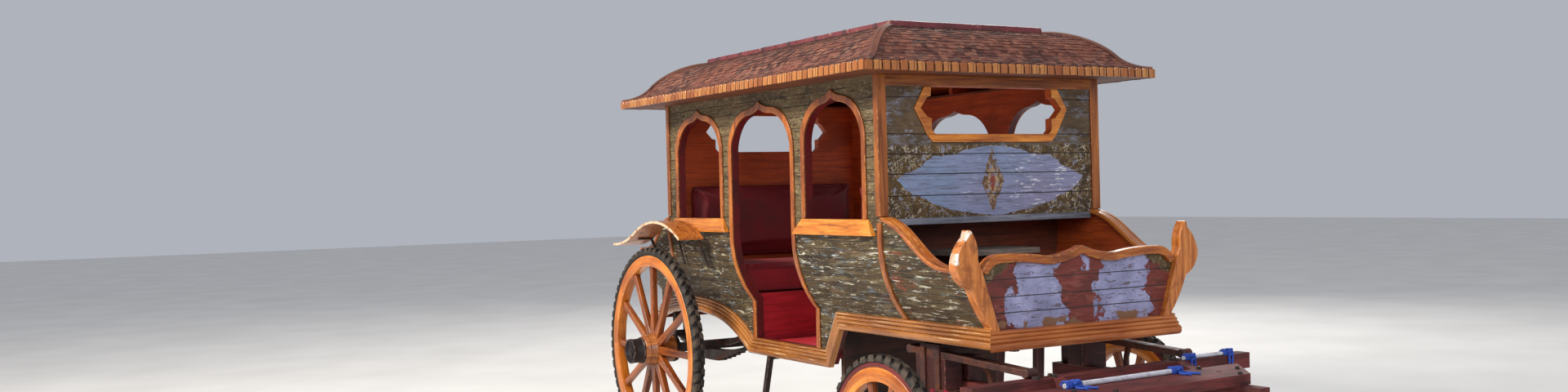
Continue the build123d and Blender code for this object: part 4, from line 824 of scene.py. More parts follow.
def sweep(name, stations, section, mats, closed_path=False, caps=True, edge=None, offset=0.0, smooth=True):
    """Skin a closed section over stations (pos, U, V). Section points are (u, v) in metres."""
    verts, gcs, faces = [], [], []
    n, k = len(stations), len(section)
    run = 0.0
    for i, (p, u, v) in enumerate(stations):
        if i:
            run += (p - stations[i - 1][0]).length
        for a, b in section:
            verts.append(p + u * a + v * b)
            gcs.append((run + offset, a, b))
    last = n if closed_path else n - 1
    for i in range(last):
        j = (i + 1) % n
        for c in range(k):
            d = (c + 1) % k
            faces.append((i * k + c, i * k + d, j * k + d, j * k + c))
    if caps and not closed_path:
        faces.append(tuple(range(k - 1, -1, -1)))
        faces.append(tuple((n - 1) * k + c for c in range(k)))
    e = [0.0] * len(faces)
    if edge:
        for i in range(last):
            for c in edge:
                e[i * k + c] = 1.0
    o = make(name, verts, faces, mats, smooth, gcs, e)
    fix_normals(o)
    sharp_by_angle(o, 38)
    return o


def fix_normals(o):
    bm = bmesh.new()
    bm.from_mesh(o.data)
    bmesh.ops.recalc_face_normals(bm, faces=bm.faces)
    bm.to_mesh(o.data)
    bm.free()


def join(objs, name):
    """One object from several, attributes kept."""
    for o in bpy.context.selected_objects:
        o.select_set(False)
    for o in objs:
        o.select_set(True)
    bpy.context.view_layer.objects.active = objs[0]
    if len(objs) > 1:
        bpy.ops.object.join()
    objs[0].name = name
    objs[0].data.name = name
    return objs[0]


def box_mesh(lo, hi, name, mats, axis="x", width=0.003, segs=2):
    lo, hi = Vector(lo), Vector(hi)
    v = [(x, y, z) for x in (lo.x, hi.x) for y in (lo.y, hi.y) for z in (lo.z, hi.z)]
    f = [(0, 1, 3, 2), (4, 6, 7, 5), (0, 4, 5, 1), (2, 3, 7, 6), (0, 2, 6, 4), (1, 5, 7, 3)]
    o = make(name, v, f, [])
    fix_normals(o)
    soften(o, width, segs)
    grain(o, axis)
    for m in (mats if isinstance(mats, (list, tuple)) else [mats]):
        o.data.materials.append(m)
    return o


def lathe(name, profile, centre, s, mats, n=96, gc_r=None, mat_of=None, edge_of=None, close=True, bump_at=None):
    """Turn a profile of (x, r) points round the line through centre along X; s mirrors x. Metres."""
    k = len(profile)
    verts, gcs, faces, mi, ed = [], [], [], [], []
    for i in range(n):
        a = 2 * math.pi * i / n
        for j, (x, r) in enumerate(profile):
            rr = r if bump_at is None else bump_at(i, j, r)
            verts.append((s * x, centre.y + rr * math.cos(a), centre.z + rr * math.sin(a)))
            gcs.append((a * (gc_r or r), x, r))
    m = k if close else k - 1
    for i in range(n):
        i2 = (i + 1) % n
        for j in range(m):
            j2 = (j + 1) % k
            faces.append((i * k + j, i * k + j2, i2 * k + j2, i2 * k + j))
            mi.append(mat_of(j) if mat_of else 0)
            ed.append(edge_of(j) if edge_of else 0.0)
    o = make(name, verts, faces, mats, True, gcs, ed, None, mi)
    fix_normals(o)
    sharp_by_angle(o, 40)
    return o


def turned(o):
    """Turn a piece of the fore-carriage to its resting steering angle about the kingpin."""
    rot = Matrix.Translation(KING) @ Matrix.Rotation(math.radians(STEER), 4, "Z") @ Matrix.Translation(-KING)
    o.data.transform(rot)
    return o


# ---------------------------------------------------------------- camera, light and floor
cam_data = bpy.data.cameras.new("camera")
cam_data.lens = 30.834
cam_data.sensor_width = 36.0
cam = bpy.data.objects.new("camera", cam_data)
bpy.context.scene.collection.objects.link(cam)
right = Vector((0.8636, -0.5036, -0.0249))
down = Vector((-0.0227, 0.0106, -0.9997))
ahead = Vector((0.5037, 0.8639, -0.0022))
mat = Matrix((right, -down, -ahead)).transposed().to_4x4()
mat.translation = Vector((-4.037, -5.6733, 1.459))
cam.matrix_world = mat
bpy.context.scene.camera = cam
bpy.context.scene.view_settings.view_transform = "Standard"

world = bpy.data.worlds.new("studio")
bpy.context.scene.world = world
world.use_nodes = True
wb = world.node_tree.nodes["Background"]
wb.inputs[0].default_value = (0.86, 0.90, 1.0, 1.0)
wb.inputs[1].default_value = 0.5


def area(name, loc, aim, size, power, colour=(1, 1, 1)):
    d = bpy.data.lights.new(name, "AREA")
    d.shape = "DISK"
    d.size = size
    d.energy = power
    d.color = colour
    o = bpy.data.objects.new(name, d)
    o.location = loc
    o.rotation_euler = (Vector(aim) - Vector(loc)).to_track_quat("-Z", "Y").to_euler()
    bpy.context.scene.collection.objects.link(o)


area("key", (-7.5, 0.8, 6.2), (0.0, 0.0, 1.2), 2.2, 860.0, (1.0, 0.93, 0.82))
area("fill", (-3.0, -8.5, 4.6), (0.0, 0.0, 1.2), 5.0, 280.0, (0.98, 0.98, 1.0))
area("rim", (6.0, 6.0, 6.0), (0.0, 0.0, 1.2), 4.0, 420.0, (1.0, 0.97, 0.92))


def floor_material():
    s = Shade("studio_floor", 0.85)
    n = s.noise(s.obj(), 1.2, 4, 0.5)
    return s.done(s.ramp(n, (0.3, lin(222, 220, 216)), (0.7, lin(232, 230, 226))))


fl = make("floor_plane", [(-40, -40, 0), (40, -40, 0), (40, 40, 0), (-40, 40, 0)], [(0, 1, 2, 3)], floor_material(), False)

# ---------------------------------------------------------------- walls: boards with real seams
def x_outer(z):
    """Outer face of the side at height z, mm."""
    if z >= TUMBLE_Z:
        return HALF
    if z <= FOOT_Z:
        return FOOT
    return TUMBLE_CX + math.sqrt(TUMBLE_R**2 - (TUMBLE_Z - z)**2)


def seam_cutter(boxes, name="seams"):
    verts, faces = [], []
    for lo, hi in boxes:
        b = len(verts)
        verts += [(x, y, z) for x in (lo[0], hi[0]) for y in (lo[1], hi[1]) for z in (lo[2], hi[2])]
        faces += [tuple(b + i for i in f) for f in ((0, 1, 3, 2), (4, 6, 7, 5), (0, 4, 5, 1), (2, 3, 7, 6), (0, 2, 6, 4), (1, 5, 7, 3))]
    me = bpy.data.meshes.new(name)
    me.from_pydata(verts, [], faces)
    o = bpy.data.objects.new(name, me)
    bpy.context.scene.collection.objects.link(o)
    fix_normals(o)
    return o


def side_seams(s, y0, y1, z0, z1, pitch, seed):
    r = random.Random(seed)
    out = []
    z = z0 + pitch * 0.6
    while z < z1 - 12:
        x1 = x_outer(z)
        a, b = sorted((s * (x1 - 2.6), s * (x1 + 30)))
        out.append(((a / 1000, fy(y0 - 50) / 1000, (z - 0.9) / 1000), (b / 1000, fy(y1 + 50) / 1000, (z + 0.9) / 1000)))
        z += pitch * r.uniform(0.9, 1.1)
    return out


for side, s in (("left", 1), ("right", -1)):
    cut = seam_cutter(side_seams(s, 0, CABIN_LEN, 600, WALL_TOP, 78, 5))

    def pick(n, c, s=s):
        if n.x * s > 0.25:
            return 0 if c.z < 1.30 else 1
        return 2 if n.x * s < -0.25 or c.z > 1.9 else 3
    soft_node("side_wall_" + side, [SIDE_PAINT, UPPER_PAINT, CABIN_WOOD, MAROON_IN], "y", 0.0012, 1, pick=pick, grooves=cut)

for node, y0, y1 in (("driver_box_sides", -BOX_LEN, 0), ("boot_sides", CABIN_LEN, CABIN_LEN + BOOT_LEN)):
    cut = seam_cutter(side_seams(1, y0, y1, 780, SILL_Z, 62, 9) + side_seams(-1, y0, y1, 780, SILL_Z, 62, 9))

    def pick(n, c):
        return 0 if n.x * (1 if c.x > 0 else -1) > 0.2 else 1
    soft_node(node, [BOX_PAINT, CABIN_WOOD], "y", 0.0012, 1, pick=pick, grooves=cut)


def end_seams(y, levels, x=0.62):
    ya, yb = sorted((fy(y[0]) / 1000, fy(y[1]) / 1000))
    return [((-x, ya, (z - 1.1) / 1000), (x, yb, (z + 1.1) / 1000)) for z in levels]


soft_node("front_wall", [FRONT_PAINT, CABIN_WOOD], "x", 0.0012, 1, pick=lambda n, c: 0 if n.y < -0.5 else 1,
          grooves=seam_cutter(end_seams((-5, 3.2), (1432.0, 1530.0, 1621.0, 1712.5, 1880.0), 0.7)))
soft_node("rear_wall", [UPPER_PAINT, CABIN_WOOD], "x", 0.0012, 1, pick=lambda n, c: 0 if n.y > 0.5 else 1,
          grooves=seam_cutter(end_seams((CABIN_LEN - 3.2, CABIN_LEN + 5), (930.0, 1030.0, 1128.0, 1230.0, 1331.0, 1432.0, 1530.0, 1621.0), 0.7)))
soft_node("dash_panel", [DASH_PAINT, CABIN_WOOD], "x", 0.0008, 1, pick=lambda n, c: 0 if n.y < -0.5 else 1)
soft_node("tailboard", [DASH_PAINT, MAROON_IN], "x", 0.0015, 1, pick=lambda n, c: 0 if n.y > 0.5 else 1,
          grooves=seam_cutter(end_seams((CABIN_LEN + BOOT_LEN - 3.2, CABIN_LEN + BOOT_LEN + 5), (800.0, 900.0, 1000.0), 0.7)))

# ---------------------------------------------------------------- trims
# window frames take the lit copy of the orange varnish: painted light
soft_node("window_frames", ORANGE_LIT, "x", 0.0035, 3)
soft_node("top_rails", POST_WOOD, "x", 0.0025, 2)
soft_node("weather_bar", GREY_PAINT, "x", 0.0025, 2)
soft_node("corner_posts", POST_WOOD, "z", 0.003, 2)
soft_node("side_strips", POST_WOOD, "z", 0.003, 2)
soft_node("arch_trims", ORANGE, "z", 0.004, 3)
# window sills take the lit copy of the orange varnish: painted light
soft_node("window_sills", ORANGE_LIT, "y", 0.003, 2)
soft_node("dash_rail", ORANGE, "x", 0.009, 4)
soft_node("driver_floor", DARK_BOARD, "y", 0.002, 1)
soft_node("well_floor", RED_BOARD, "y", 0.002, 1)
soft_node("rear_floor", DARK_BOARD, "y", 0.002, 1)
soft_node("bulkheads", DARK_BOARD, "x", 0.002, 1)
# the backboard takes the darkened lining: painted shade
soft_node("driver_backboard", BACKBOARD_SHADE_WOOD, "x", 0.002, 1)
soft_node("driver_seat", [GREY_BOARD, DARK_BOARD], "x", 0.004, 2, pick=lambda n, c: 0 if c.z > 1.142 else 1)
soft_node("benches", [RED_BOARD, DARK_BOARD], "x", 0.002, 1, pick=lambda n, c: 0)
soft_node("eaves_soffit", SOFFIT, "y", 0.001, 1)
soft_node("roof_ribs", CABIN_WOOD, "x", 0.003, 1)

# ---------------------------------------------------------------- base moulding, swept with rounded reeds
def reed_section(back=0.006):
    pts = [(-back, 0.0)]
    for d0, d1, proud, base in ((0, 33, 30, 20), (33, 51, 22, 14), (51, 68, 17, 9), (68, 85, 11, 3)):
        n = 7 if d1 - d0 > 20 else 6
        for i in range(n + 1):
            t = i / n
            u = base + (proud - base) * math.sin(math.pi * t)**0.55
            pts.append((u / 1000, (d0 + (d1 - d0) * t + (0.4 if i == 0 else 0)) / 1000))
    pts.append((-back, 0.085))
    return pts


FRONT_THICK, FRONT_LOW = 25.0, 10.0
# faces of the section near the upper shoulder of each reed, coloured bright as painted highlight glints
CREST_GLINT_FACES = (6, 13, 20, 26)
side_path = join_paths([(-BOX_LEN - FRONT_THICK, EDGE_FRONT_Z), (535.0, EDGE_FRONT_Z), (640.0, 595.0), (1455.0, 595.0)],
                       arc3((1455.0, 595.0), (1640.0, 704.0), (1900.0, 769.0), 14),
                       arc3((1900.0, 769.0), (2180.0, 782.0), (2630.0, EDGE_REAR_Z), 22))
side_path = [p for p in side_path if p[0] < CABIN_LEN + BOOT_LEN - 12.0] + [(CABIN_LEN + BOOT_LEN, EDGE_REAR_Z + 6.0)]
mit = miters(side_path)
pieces = []
for s in (1, -1):
    st = []
    for i, ((y, z), mv) in enumerate(zip(side_path, mit)):
        u = Vector((s, 0, 0))
        v = Vector((0, mv.x, mv.y))
        if i == 0:
            u, v = Vector((s, -1, 0)), Vector((0, 0, 1))
        elif i == len(side_path) - 1:
            u, v = Vector((s, 1, 0)), Vector((0, 0, 1))
        st.append((m3(s * FOOT, y, z), u, v))
    pieces.append(sweep("mould_side", st, reed_section(), MOULD_WOOD, offset=0.3 * s, edge=CREST_GLINT_FACES))
for y, z, d, back in ((-BOX_LEN - FRONT_THICK, EDGE_FRONT_Z - FRONT_LOW, -1, 0.006 + FRONT_THICK / 1000), (CABIN_LEN + BOOT_LEN, EDGE_REAR_Z + 6.0, 1, 0.006)):
    st = [(m3(-FOOT, y, z), Vector((-1, d, 0)), Vector((0, 0, 1))), (m3(0, y, z), Vector((0, d, 0)), Vector((0, 0, 1))),
          (m3(FOOT, y, z), Vector((1, d, 0)), Vector((0, 0, 1)))]
    pieces.append(sweep("mould_end", st, reed_section(back), FRONT_MOULD, offset=1.1, edge=CREST_GLINT_FACES))
place(join(pieces, "base_moulding_reeds"), BODY, "varnished_trim", "base_moulding")

# ---------------------------------------------------------------- rails of the wings
WING_Z, WING_A0 = 1322.0, math.radians(10.0)
WINGS = ((0.0, -1, BOX_LEN - PANEL, 160.0, 270.0, 490.0, math.radians(35.0)), (CABIN_LEN, 1, BOOT_LEN, 118.0, 200.0, 360.0, math.radians(42.0)))


def wing_path(row, n=10):
    y0, d, length, x1, x2, x3, am = row
    r1 = x1 / (math.sin(am) - math.sin(WING_A0))
    r2 = (x3 - x2) / math.sin(am)
    c1 = (-r1 * math.sin(WING_A0), WING_Z - r1 * math.cos(WING_A0))
    z2 = c1[1] + r1 * math.cos(am) - (x2 - x1) * math.tan(am)
    c2 = (x3, z2 + r2 * math.cos(am))
    pts = [(c1[0] + r1 * math.sin(WING_A0 + (am - WING_A0) * i / n), c1[1] + r1 * math.cos(WING_A0 + (am - WING_A0) * i / n)) for i in range(n + 1)]
    pts += [(c2[0] - r2 * math.sin(am * (n - i) / n), c2[1] - r2 * math.cos(am * (n - i) / n)) for i in range(n + 1)]
    pts.append((length, c2[1] - r2))
    return [(y0 + d * a, b) for a, b in pts]


def round_rect(u0, u1, v0, v1, r, n=3):
    pts = []
    for cx, cy, a0 in ((u1 - r, v1 - r, 0), (u0 + r, v1 - r, 90), (u0 + r, v0 + r, 180), (u1 - r, v0 + r, 270)):
        for i in range(n + 1):
            a = math.radians(a0 + 90 * i / n)
            pts.append((cx + r * math.cos(a), cy + r * math.sin(a)))
    return pts


RAIL_SECTION = [(-0.034, 0.003), (-0.034, 0.016), (-0.032, 0.019), (-0.028, 0.020), (0.008, 0.020), (0.011, 0.0185), (0.013, 0.0155),
                (0.015, 0.0185), (0.018, 0.020), (0.028, 0.0197), (0.032, 0.018), (0.034, 0.0145), (0.034, 0.005), (0.032, 0.0015), (0.028, 0.0), (-0.030, 0.0)]
pieces = []
for row in WINGS:
    path = wing_path(row)
    mv = miters(path, left=row[1] > 0)
    for s in (1, -1):
        st = [(m3(s * 624.0, y, z), Vector((s, 0, 0)), Vector((0, v.x, v.y))) for (y, z), v in zip(path, mv)]
        pieces.append(sweep("rail", st, RAIL_SECTION, ORANGE, edge=(3, 7, 8, 9, 10), offset=0.7 * s))
place(join(pieces, "wing_rail_mouldings"), BODY, "varnished_trim", "wing_rails")

# ---------------------------------------------------------------- carved horns
HORN_OUT = ((614.0, 1042.0), (668.0, 1080.0), (694.0, 1138.0), (676.0, 1202.0), (631.0, 1258.0))
HORN_TIP = (622.0, 1288.0)
HORN_IN = ((612.0, 1286.0), (585.0, 1236.0), (578.0, 1166.0))
NECK, POST_IN = (556.0, 1111.0), (472.0, 862.0)


def horn_material():
    s = Shade("carved_horns", Coat_Weight=0.3, Coat_Roughness=0.15)
    grain_n = s.noise(s.gc((2.0, 24, 24)), 2.4, 6, 0.62, 0.8)
    blotch = s.noise(s.obj(), 14.0, 6, 0.6, 0.4)
    col = s.ramp(grain_n, (0.32, lin(134, 66, 22)), (0.5, lin(194, 112, 44)), (0.7, lin(216, 140, 68)))
    col = s.mix(s.step(blotch, 0.50, 0.66, 0.0, 0.7), col, lin(140, 74, 26))
    x, y, z = s.xyz(s.obj())
    # a worn white strip near the tip and a smaller patch lower down, on the right horn's outer edge only
    gx, gy, gz = s.xyz(s.attr("gc"))
    wob = s.math("MULTIPLY", s.math("SUBTRACT", s.noise(s.obj(), 40.0, 6, 0.65), 0.5), 0.05)
    zw = s.math("ADD", z, wob)
    xw = s.math("ADD", x, s.math("MULTIPLY", wob, 0.3))
    high = s.math("MULTIPLY", s.step(zw, 1.236, 1.243), s.step(zw, 1.282, 1.288, 1.0, 0.0))
    high = s.math("MULTIPLY", high, s.step(s.math("SUBTRACT", xw, s.math("MULTIPLY", s.math("SUBTRACT", z, 1.26), 0.9)), -0.627, -0.622, 1.0, 0.0))
    low = s.math("MULTIPLY", s.step(zw, 1.146, 1.154), s.step(zw, 1.190, 1.196, 1.0, 0.0))
    low = s.math("MULTIPLY", low, s.step(xw, -0.682, -0.677, 1.0, 0.0))
    chips = s.step(s.noise(s.obj(), 60.0, 6, 0.7), 0.40, 0.46)
    white = s.math("MULTIPLY", s.math("MAXIMUM", high, low), chips)
    col = s.mix(s.math("MULTIPLY", white, s.step(y, -1.300, -1.292, 1.0, 0.5)), col, lin(232, 224, 210))
    fine = s.noise(s.gc((8, 150, 150)), 2.5, 4, 0.6)
    return s.done(col, s.step(blotch, 0.3, 0.7, 0.28, 0.5), s.bump(s.math("ADD", grain_n, fine), 0.3, 0.0015))


HORN = horn_material()
horns = []
for s in (1, -1):
    xf, zf = FOOT, FOOT_Z
    out = [(POST_IN[0], POST_IN[1]), (xf, POST_IN[1])] + arc3((xf, zf), (572.0, 956.0), HORN_OUT[0], 9)
    out += arc3(HORN_OUT[0], HORN_OUT[1], HORN_OUT[2], 8)[1:] + arc3(HORN_OUT[2], HORN_OUT[3], HORN_OUT[4], 10)[1:]
    out += [HORN_TIP, HORN_IN[0]] + arc3(HORN_IN[0], HORN_IN[1], HORN_IN[2], 9)[1:] + [NECK]
    n = len(out)
    y0, y1 = -BOX_LEN - 26.0, -BOX_LEN + 22.0
    verts = [m3(s * x, y0, z) for x, z in out] + [m3(s * x, y1, z) for x, z in out]
    faces = [tuple(range(n)), tuple(range(2 * n - 1, n - 1, -1))] + [(i, (i + 1) % n, n + (i + 1) % n, n + i) for i in range(n)]
    o = make("horn", verts, faces, [])
    fix_normals(o)
    # chamfered, slightly raised carving on the front and back faces
    bm = bmesh.new()
    bm.from_mesh(o.data)
    for sign in (-1, 1):
        face = max(bm.faces, key=lambda f: f.normal.y * sign * f.calc_area())
        bmesh.ops.inset_region(bm, faces=[face], thickness=0.0035, use_even_offset=True)
        for v in face.verts:
            v.co.y += sign * 0.003
    bm.to_mesh(o.data)
    bm.free()
    soften(o, 0.0022, 2, 30)
    grain(o, "z")
    o.data.materials.append(HORN)
    horns.append(o)
place(join(horns, "carved_horn_finials"), BODY, "varnished_trim", "horn_finials")

# ---------------------------------------------------------------- roof: shingles, hips, cap, fascia slats
dress("roof_shell", CABIN_WOOD, "y")
PROFILE = join_paths(arc3((0.0, 0.0), (75.0, 21.0), (140.0, 82.0), 10), arc3((140.0, 82.0), (238.0, 158.0), (390.0, RIDGE_Z - EAVE_Z), 14))
RUN = [0.0]
for a, b in zip(PROFILE, PROFILE[1:]):
    RUN.append(RUN[-1] + math.hypot(b[0] - a[0], b[1] - a[1]))


def on_profile(t):
    """Point and outward normal of the roof's curve at run t."""
    t = min(max(t, 0.0), RUN[-1] - 1e-6)
    i = max(j for j in range(len(RUN)) if RUN[j] <= t)
    f = (t - RUN[i]) / (RUN[i + 1] - RUN[i])
    a, b = PROFILE[i], PROFILE[i + 1]
    d = Vector((b[0] - a[0], b[1] - a[1])).normalized()
    return (a[0] + (b[0] - a[0]) * f, a[1] + (b[1] - a[1]) * f), Vector((-d.y, d.x)), d


Y0, Y1 = -EAVE_OUT, CABIN_LEN + EAVE_OUT
SLOPES = (  # eave line start, eave direction, inward direction, inward scale, length, trims at each end per unit run
    ("front", (-EAVE_X, Y0), (1, 0), (0, 1), (CAP_Y0 - Y0) / 390.0, 2 * EAVE_X),
    ("rear", (EAVE_X, Y1), (-1, 0), (0, -1), (Y1 - CAP_Y1) / 390.0, 2 * EAVE_X),
    ("right", (-EAVE_X, Y1), (0, -1), (1, 0), 1.0, Y1 - Y0),
    ("left", (EAVE_X, Y0), (0, 1), (-1, 0), 1.0, Y1 - Y0),
)
ENDS = {"front": (1.0, 1.0), "rear": (1.0, 1.0), "right": ((Y1 - CAP_Y1) / 390.0, (CAP_Y0 - Y0) / 390.0),
        "left": ((CAP_Y0 - Y0) / 390.0, (Y1 - CAP_Y1) / 390.0)}
verts, faces, gcs, rnds, edges = [], [], [], [], []
r = random.Random(3)
ROW, WIDE = 24.0, 33.0
for name, p0, du, di, k, length in SLOPES:
    row_n = int(RUN[-1] / ROW)
    for j in range(row_n + 1):
        t0 = j * ROW - 3.0
        u = -r.uniform(0, WIDE)
        while u < length:
            w = WIDE * r.uniform(0.65, 1.4)
            a, b = u + 0.8, u + w - 0.8
            lo = t0 + r.uniform(-4.0, 4.0)
            hi = lo + ROW * 1.55
            thick, lift = r.uniform(3.0, 5.0), r.uniform(0.5, 3.4)
            (d0, z0), n0, _ = on_profile(max(lo, 0.0))
            (d1, z1), n1, _ = on_profile(min(hi, RUN[-1]))
            e0, e1 = ENDS[name]
            a0, b0 = max(a, e0 * d0), min(b, length - e1 * d0)
            a1, b1 = max(a, e0 * d1), min(b, length - e1 * d1)
            if b0 - a0 > 5.0 and b1 - a1 > 1.0:
                skew = r.uniform(-1.5, 1.5)
                base = len(verts)
                quad = []
                for (uu, dd, zz, nn, lift_) in ((a0, d0, z0, n0, lift), (b0, d0, z0, n0, lift), (b1, d1, z1, n1, 0.6), (a1, d1, z1, n1, 0.6)):
                    for h in (lift_ - 1.0, lift_ + (thick if lift_ == lift else 1.5)):
                        dd2 = dd + (skew if dd is d0 else 0.0)
                        dd2 = dd + nn.x * h
                        x = p0[0] + du[0] * uu + di[0] * k * dd2
                        y = p0[1] + du[1] * uu + di[1] * k * dd2
                        verts.append(m3(x, y, EAVE_Z + zz + nn.y * h))
                        gcs.append((dd / 1000 + len(rnds) * 0.013, uu / 1000, h / 1000))
                f = [(0, 2, 4, 6), (7, 5, 3, 1), (0, 1, 3, 2), (2, 3, 5, 4), (4, 5, 7, 6), (6, 7, 1, 0)]
                faces += [tuple(base + q for q in ff) for ff in f]
                c = r.random()
                rnds += [c] * 6
                edges += [0, 0, 1.0, 0.6, 0, 0.6]
            u += w
o = make("roof_shingles", verts, faces, SHINGLE, False, gcs, edges, rnds)
fix_normals(o)
place(o, BODY, "shingles")

hips = []
for sx, y0, sy, k in ((-1, Y0, 1, (CAP_Y0 - Y0) / 390.0), (1, Y0, 1, (CAP_Y0 - Y0) / 390.0),
                      (-1, Y1, -1, (Y1 - CAP_Y1) / 390.0), (1, Y1, -1, (Y1 - CAP_Y1) / 390.0)):
    st = []
    for i in range(23):
        (d, z), nn, tt = on_profile(RUN[-1] * i / 22.0)
        p = m3(sx * (EAVE_X - d), y0 + sy * k * d, EAVE_Z + z)
        side_n = Vector((sx * -nn.x * -1, 0, nn.y)) if False else Vector((-sx * nn.x, 0, nn.y))
        end_n = Vector((0, sy * nn.x, nn.y))
        up = (side_n + end_n).normalized()
        along = Vector((-sx * tt.x, sy * k * tt.x, tt.y)).normalized()
        st.append((p + up * 0.004, along.cross(up).normalized() * sx * sy, up))
    sec = [(-0.021, -0.006), (-0.021, 0.003), (-0.004, 0.0100), (0.0, 0.0105), (0.004, 0.0100), (0.021, 0.003), (0.021, -0.006), (0.0, 0.0)]
    hips.append(sweep("hip", st, sec, HIP, edge=(1, 4)))
place(join(hips, "hip_boards"), BODY, "shingles")

# the sheet metal cap: flared skirt, lapped joints and a flat top
sec_x, sec_y0, sec_y1 = CAP_X, CAP_Y0, CAP_Y1
LIFT = RIDGE_Z + CAP_T
rings = [(6.0, -10.0, 0), (7.5, -12.0, 1), (7.5, -3.0, 1), (3.0, 1.0, 0), (0.0, CAP_T - 5.0, 0), (-2.0, CAP_T - 1.5, 0), (-8.0, CAP_T, 0), (-120.0, CAP_T + 0.0, 0)]
verts, faces, edges = [], [], []
ny = 56
for g, h, e in rings:
    loop = []
    x0, x1, ya, yb = -sec_x - g, sec_x + g, sec_y0 - g, sec_y1 + g
    nx = 22
    for i in range(nx):
        loop.append((x0 + (x1 - x0) * i / nx, ya))
    for i in range(ny):
        loop.append((x1, ya + (yb - ya) * i / ny))
    for i in range(nx):
        loop.append((x1 - (x1 - x0) * i / nx, yb))
    for i in range(ny):
        loop.append((x0, yb - (yb - ya) * i / ny))
    for i, (x, y) in enumerate(loop):
        wob = 1.3 * math.sin(i * 1.7) * math.sin(i * 0.53) if e else 0.5 * math.sin(i * 0.9)
        verts.append(m3(x, y, RIDGE_Z + min(h + wob, CAP_T + 0.5)))
k = 2 * 22 + 2 * ny
for a in range(len(rings) - 1):
    for i in range(k):
        faces.append((a * k + i, a * k + (i + 1) % k, (a + 1) * k + (i + 1) % k, (a + 1) * k + i))
        edges.append(1.0 if rings[a][2] else 0.0)
faces.append(tuple((len(rings) - 1) * k + i for i in range(k)))
edges.append(0.0)
faces.append(tuple(range(k - 1, -1, -1)))
edges.append(0.0)
o = make("cap_sheet_metal", verts, faces, CAP, True, None, edges)
fix_normals(o)
sharp_by_angle(o, 30)
cap_parts = [o]
# laps of the sheets round the skirt and standing seams over the top
r = random.Random(8)
laps = []
for s in (1, -1):
    y = CAP_Y0 + 120
    while y < CAP_Y1 - 60:
        laps.append(((s * (CAP_X + 0.0), y), (s * 1.0, 0.0), r.uniform(4, 9)))
        y += r.uniform(210, 290)
for ya, d in ((CAP_Y0, -1), (CAP_Y1, 1)):
    x = -CAP_X + 110
    while x < CAP_X - 60:
        laps.append(((x, ya), (0.0, d * 1.0), r.uniform(4, 9)))
        x += r.uniform(170, 240)
for (x, y), (nx_, ny_), w in laps:
    n = Vector((nx_, ny_, 0))
    t = Vector((-ny_, nx_, 0))
    st = []
    for g, h in ((8.3, -9.0), (8.0, -3.0), (3.6, 1.5), (0.8, CAP_T - 6.0), (-1.4, CAP_T - 1.6)):
        p = Vector((x, fy(y), RIDGE_Z + h)) / 1000 + n * (g / 1000)
        st.append((p, t, n))
    cap_parts.append(sweep("lap", st, [(-w / 1000, -0.0016), (-w / 1000, 0.0008), (w / 1000, 0.0013), (w / 1000, -0.0016)], CAP))
for y in [CAP_Y0 + 130 + i * 268 for i in range(7)]:
    st = [(m3(-CAP_X + 3, y, LIFT - 2.0), Vector((0, 1, 0)), Vector((0, 0, 1))), (m3(0, y, LIFT - 1.2), Vector((0, 1, 0)), Vector((0, 0, 1))),
          (m3(CAP_X - 3, y, LIFT - 2.0), Vector((0, 1, 0)), Vector((0, 0, 1)))]
    cap_parts.append(sweep("seam", st, [(-0.007, -0.002), (-0.006, 0.0018), (-0.002, 0.0030), (0.002, 0.0030), (0.006, 0.0018), (0.007, -0.002)], CAP))
place(join(cap_parts, "roof_cap_sheets"), BODY, "cap_metal", "roof_cap")

# slats of the fascia over a backing board
verts, faces, gcs, rnds, edges = [], [], [], [], []
r = random.Random(4)
SLAT_Z0, SLAT_Z1 = 1977.0, 2019.0
PITCH = 46.0


def slat(centre, t, n, half, r):
    """One slat: a board with a rounded head, its face slightly crowned."""
    top = SLAT_Z1 + r.uniform(1.0, 4.0)
    bottom = SLAT_Z0 + r.uniform(-0.5, 1.0)
    outline = [(-half, bottom), (half, bottom), (half, top - 6.0)]
    outline += [(half * math.cos(a), top - 6.0 + 6.0 * math.sin(a)) for a in [math.radians(q) for q in (30, 60, 90, 120, 150)]]
    outline += [(-half, top - 6.0)]
    base = len(verts)
    k = len(outline)
    mid_z = (top + bottom) / 2
    for depth, shrink in ((-1.0, 0.0), (6.0, 0.0), (8.2, 2.2)):
        for a, z in outline:
            aa = a - math.copysign(min(shrink, abs(a)), a)
            zz = z - math.copysign(shrink * 0.8, z - mid_z)
            p = centre + t * aa + n * depth
            verts.append(Vector((p.x, p.y, zz)) / 1000)
            gcs.append((zz / 1000 + len(rnds) * 0.017, a / 1000, depth / 1000))
    c = r.random()
    for lay in (0, 1):
        for i in range(k):
            j = (i + 1) % k
            faces.append((base + lay * k + i, base + lay * k + j, base + (lay + 1) * k + j, base + (lay + 1) * k + i))
            rnds.append(c)
            edges.append(0.8 if lay == 0 else 0.2)
    faces.append(tuple(base + 2 * k + i for i in range(k)))
    faces.append(tuple(base + i for i in range(k - 1, -1, -1)))
    rnds.extend([c, c])
    edges.extend([0.0, 0.0])


